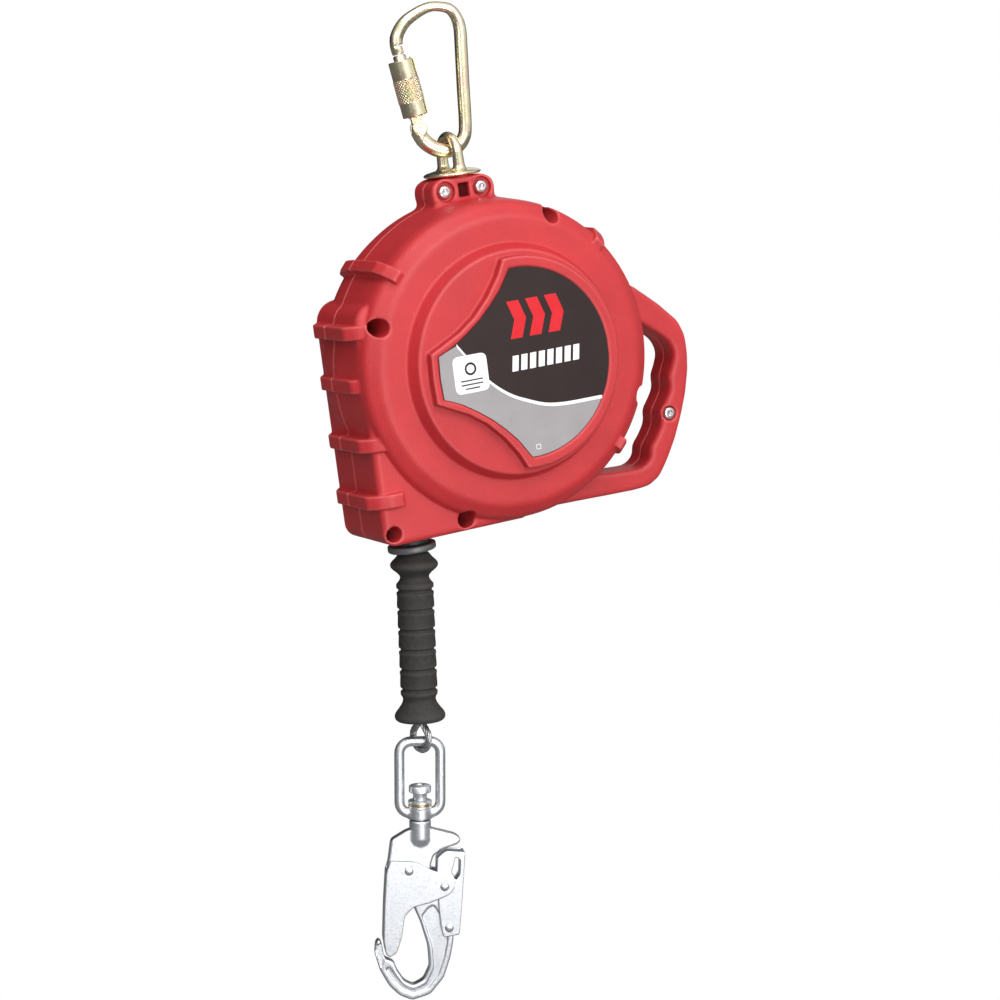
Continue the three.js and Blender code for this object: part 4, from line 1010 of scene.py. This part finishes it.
def build_pin():
    stem = lathe([(3, -73.7), (4.7, -73.6), (4.7, -49.2), (5.3, -49), (5.3, -44.4), (5.8, -43.4),
        (8.0, -43.1), (8.6, -42.5), (8.6, -39.0), (8.2, -38.0), (7.2, -37.5), (3.2, -37.4), (2.9, -38.2),
        (1, -38.6)], 48)
    piece("swivel_pin_turned", *stem, HOOK, "hook", ZINC, ["swivel_pin"], "forged_zinc")
    washer = lathe([(5.2, -55.4), (8.6, -55.4), (9.1, -55.0), (9.1, -53.4), (8.0, -53.2), (8.0, -51.6),
        (9.1, -51.4), (9.1, -49.8), (8.6, -49.4), (5.2, -49.4), (5.2, -55.4)], 48)
    piece("indicator_washer_turned", *washer, HOOK, "hook", ZINC, ["indicator_washer"], "brass")
    band = lathe([(7.5, -53.1), (8.8, -53.1), (8.8, -51.7), (7.5, -51.7), (7.5, -53.1)], 48)
    piece("indicator_washer_band", *band, HOOK, "hook", BRASS, slot="brass")


def build_hook_body():
    clay = Clay((-38, -10, -209), (34, 10, -62), FORGING_STEP)
    clay.add(slab(rounded(HOOK_OUTLINE, 2.5, 3), -HOOK_HALF, HOOK_HALF, 1.8))
    boss = [(-5, -86), (3.5, -85.2), (6.6, -83), (8.2, -79.5), (8.4, -66), (7.9, -65), (-5, -65)]
    clay.add(turned(boss, along="z"), 1.6)
    clay.carve(rod((0, 0), 5.1, -76, -60, "z"), 0.5)
    # sunk web of the I-section along the bow, on both faces
    web = [(6.4, -133), (10.4, -132), (19.6, -147), (21, -160), (18.6, -173), (14, -187), (5.6, -198),
        (-6, -202.4), (-14.6, -198.6), (-22, -190.6), (-27.6, -181.4), (-24.6, -179.6), (-19.6, -187.4),
        (-13.6, -195), (-6, -198.7), (4, -194.4), (9.8, -182), (8.8, -165), (3.4, -147.6), (0.5, -140)]
    for side in (-1, 1):
        y = sorted((side * (HOOK_HALF - 1.1), side * (HOOK_HALF + 3)))
        clay.carve(slab(rounded(web, 2, 3), *y, 0.2), 0.8)
    nose = [(-36.5, -163), (-31, -160.5), (-28.4, -173), (-31, -180)]
    clay.carve(slab(nose, HOOK_HALF - 1.2, 9, 0.1), 0.8)
    clay.carve(slab(nose, -9, -HOOK_HALF + 1.2, 0.1), 0.8)
    piece("hook_forged", *clay.mesh(), HOOK, "hook", ZINC, ["hook_body"], "forged_zinc", crease=0)


GATE_SIDE = [
    (-24, -95.3), (-4, -96.8), (9.2, -103.6), (21, -107.6), (25.5, -112), (26, -118), (22.4, -123.1),
    (7.5, -128.9), (-6.5, -132.4), (-12.8, -139.3), (-15.2, -156), (-19.1, -167.8), (-24.6, -171.3),
    (-27.6, -169), (-29.4, -158), (-28.6, -130), (-27, -104),
]
LEVER_SIDE = [
    (34.6, -90.1), (19.3, -88.9), (12.5, -94.5), (12.2, -108), (13.5, -132), (15.5, -150), (17.5, -157.6),
    (30, -155.5), (32, -130),
]


def pressed(side, back, inner, name, body, openings=()):
    """A pressed channel: two side plates round the body, joined by a web down its back."""
    outer = inner + PLATE
    clay = Clay((-32, -outer - 1, -174), (37, outer + 1, -86), 0.45)
    clay.add(slab(rounded(side, 1.6, 3), -outer, outer, 0.7))
    hollow = slab(box_outline(-60, -60, 60, -220), -inner, inner, 0.6)
    web = slab(back, -outer, outer, 0.4)

    def inside(x, y, z):
        return np.maximum(hollow(x, y, z), -web(x, y, z))

    clay.carve(inside, 0.3)
    for points in openings:
        clay.carve(slab(rounded(points, 1.2, 3), -20, 20, 0.1), 0.4)
    piece(name, *clay.mesh(), HOOK, body, ZINC, [name.replace("_pressed", "")], "forged_zinc", crease=0)


def build_hook_gate():
    back = [(-27, -103), (-24.8, -103), (-26.4, -130), (-27, -158), (-25.4, -166), (-19.5, -168.2),
        (-24.6, -172.5), (-28.6, -170), (-31, -158), (-30, -130), (-29, -103)]
    pressed(GATE_SIDE, back, HOOK_HALF + GAP + PLATE + GAP, "hook_gate_pressed", "gate")


def build_lock_lever():
    back = [(36, -89), (32.8, -89), (30.2, -130), (28.2, -157), (31, -157), (34, -130)]
    window = [(27.1, -93.6), (30.6, -96.6), (30.2, -108), (27.1, -112.4), (23.6, -106)]
    pressed(LEVER_SIDE, back, HOOK_HALF + GAP, "lock_lever_pressed", "lever", [window])


def build_rivets():
    gate_half = HOOK_HALF + 2 * (GAP + PLATE) + GAP
    for name, (u, w) in RIVETS.items():
        half = gate_half if name != "lever_rivet" else HOOK_HALF + PLATE + 2 * GAP
        dome = [(0.6, half + 1.0), (1.7, half + 0.95), (2.7, half + 0.65), (3.3, half + 0.2), (3.4, half)]
        profile = [(r, -z) for r, z in dome] + [(2.2, -half), (2.2, half)] + dome[::-1]
        body = "gate" if name == "gate_tail_rivet" else "hook"
        rivet = moved(lathe(profile, 32), Matrix.Translation((u, 0, w)) @ TO_FRONT)
        piece(name + "_domed", *rivet, HOOK, body, STEEL, [name], "forged_zinc")


build_ring()
build_pin()
build_hook_body()
build_hook_gate()
build_lock_lever()
build_rivets()


# ---- floor and light ------------------------------------------------------------------
FLOOR_Z, FLOOR_HALF = -0.86, 30.0
KEY_SIDE = Vector((0.08, -0.90, 0.42)).normalized()      # the side the light comes from
SKY = [(0.0, 0.01), (0.24, 0.04), (0.45, 0.22), (0.70, 0.66), (0.95, 1.0)]


def plain_white_to_look_at(tree, lit, white, output):
    """The camera sees the white shader, and all other rays see the lit one."""
    seen = tree.nodes.new("ShaderNodeLightPath")
    mix = tree.nodes.new("ShaderNodeMixShader")
    tree.links.new(seen.outputs["Is Camera Ray"], mix.inputs["Fac"])
    tree.links.new(lit.outputs[0], mix.inputs[1])
    tree.links.new(white.outputs[0], mix.inputs[2])
    tree.links.new(mix.outputs["Shader"], tree.nodes[output].inputs["Surface"])


def build_stage():
    """A floor that the lamps light for the object's sake, plain white to look at."""
    mesh = bpy.data.meshes.new("floor")
    signs = ((-1, -1), (1, -1), (1, 1), (-1, 1))
    mesh.from_pydata([(i * FLOOR_HALF, j * FLOOR_HALF, FLOOR_Z) for i, j in signs], [], [[0, 1, 2, 3]])
    floor = bpy.data.objects.new("floor", mesh)
    bpy.context.scene.collection.objects.link(floor)
    paint = bpy.data.materials.new("floor_paint")
    paint.use_nodes = True
    shader = paint.node_tree.nodes["Principled BSDF"]
    shader.inputs["Base Color"].default_value = (0.22, 0.22, 0.22, 1)
    shader.inputs["Roughness"].default_value = 0.9
    glow = paint.node_tree.nodes.new("ShaderNodeEmission")
    plain_white_to_look_at(paint.node_tree, shader, glow, "Material Output")
    mesh.materials.append(paint)


def area_light(name, at, target, size, power):
    data = bpy.data.lights.new(name, "AREA")
    data.shape, data.size, data.size_y = "RECTANGLE", size[0], size[1]
    data.energy = power
    lamp = bpy.data.objects.new(name, data)
    lamp.location = at
    lamp.rotation_mode = "QUATERNION"
    lamp.rotation_quaternion = (Vector(target) - Vector(at)).to_track_quat("-Z", "Y")
    bpy.context.scene.collection.objects.link(lamp)


def build_world():
    """Surroundings that grow brighter towards the key light, and look plain white."""
    world = bpy.data.worlds.new("studio")
    bpy.context.scene.world = world
    world.use_nodes = True
    nodes, links = world.node_tree.nodes, world.node_tree.links
    where = nodes.new("ShaderNodeTexCoord")
    dot = nodes.new("ShaderNodeVectorMath")
    dot.operation = "DOT_PRODUCT"
    dot.inputs[1].default_value = KEY_SIDE
    links.new(where.outputs["Generated"], dot.inputs[0])
    scale = nodes.new("ShaderNodeMapRange")
    scale.inputs["From Min"].default_value = -1
    links.new(dot.outputs["Value"], scale.inputs["Value"])
    ramp = nodes.new("ShaderNodeValToRGB")
    stops = ramp.color_ramp.elements
    while len(stops) < len(SKY):
        stops.new(0.5)
    for stop, (place, grey) in zip(stops, SKY):
        stop.position = place
        stop.color = (grey, grey, grey, 1)
    links.new(scale.outputs["Result"], ramp.inputs["Fac"])
    lit = nodes["Background"]
    links.new(ramp.outputs["Color"], lit.inputs["Color"])
    white = nodes.new("ShaderNodeBackground")
    white.inputs["Color"].default_value = (1, 1, 1, 1)
    plain_white_to_look_at(world.node_tree, lit, white, "World Output")


def build_lights():
    middle = (0.03, 0, -0.32)
    area_light("key", (0.10, -1.80, 0.80), middle, (1.1, 1.1), 19)
    area_light("top", (-0.55, -0.55, 1.35), middle, (0.9, 0.6), 6)
    area_light("left", (-1.45, -1.15, 0.3), middle, (0.6, 0.9), 5)
    area_light("low", (-0.1, -1.6, -0.7), middle, (1.2, 0.4), 10)
    area_light("back", (1.2, 1.5, 0.7), middle, (1.0, 1.0), 2.5)
    bpy.context.scene.view_settings.view_transform = "Standard"


build_stage()
build_world()
build_lights()
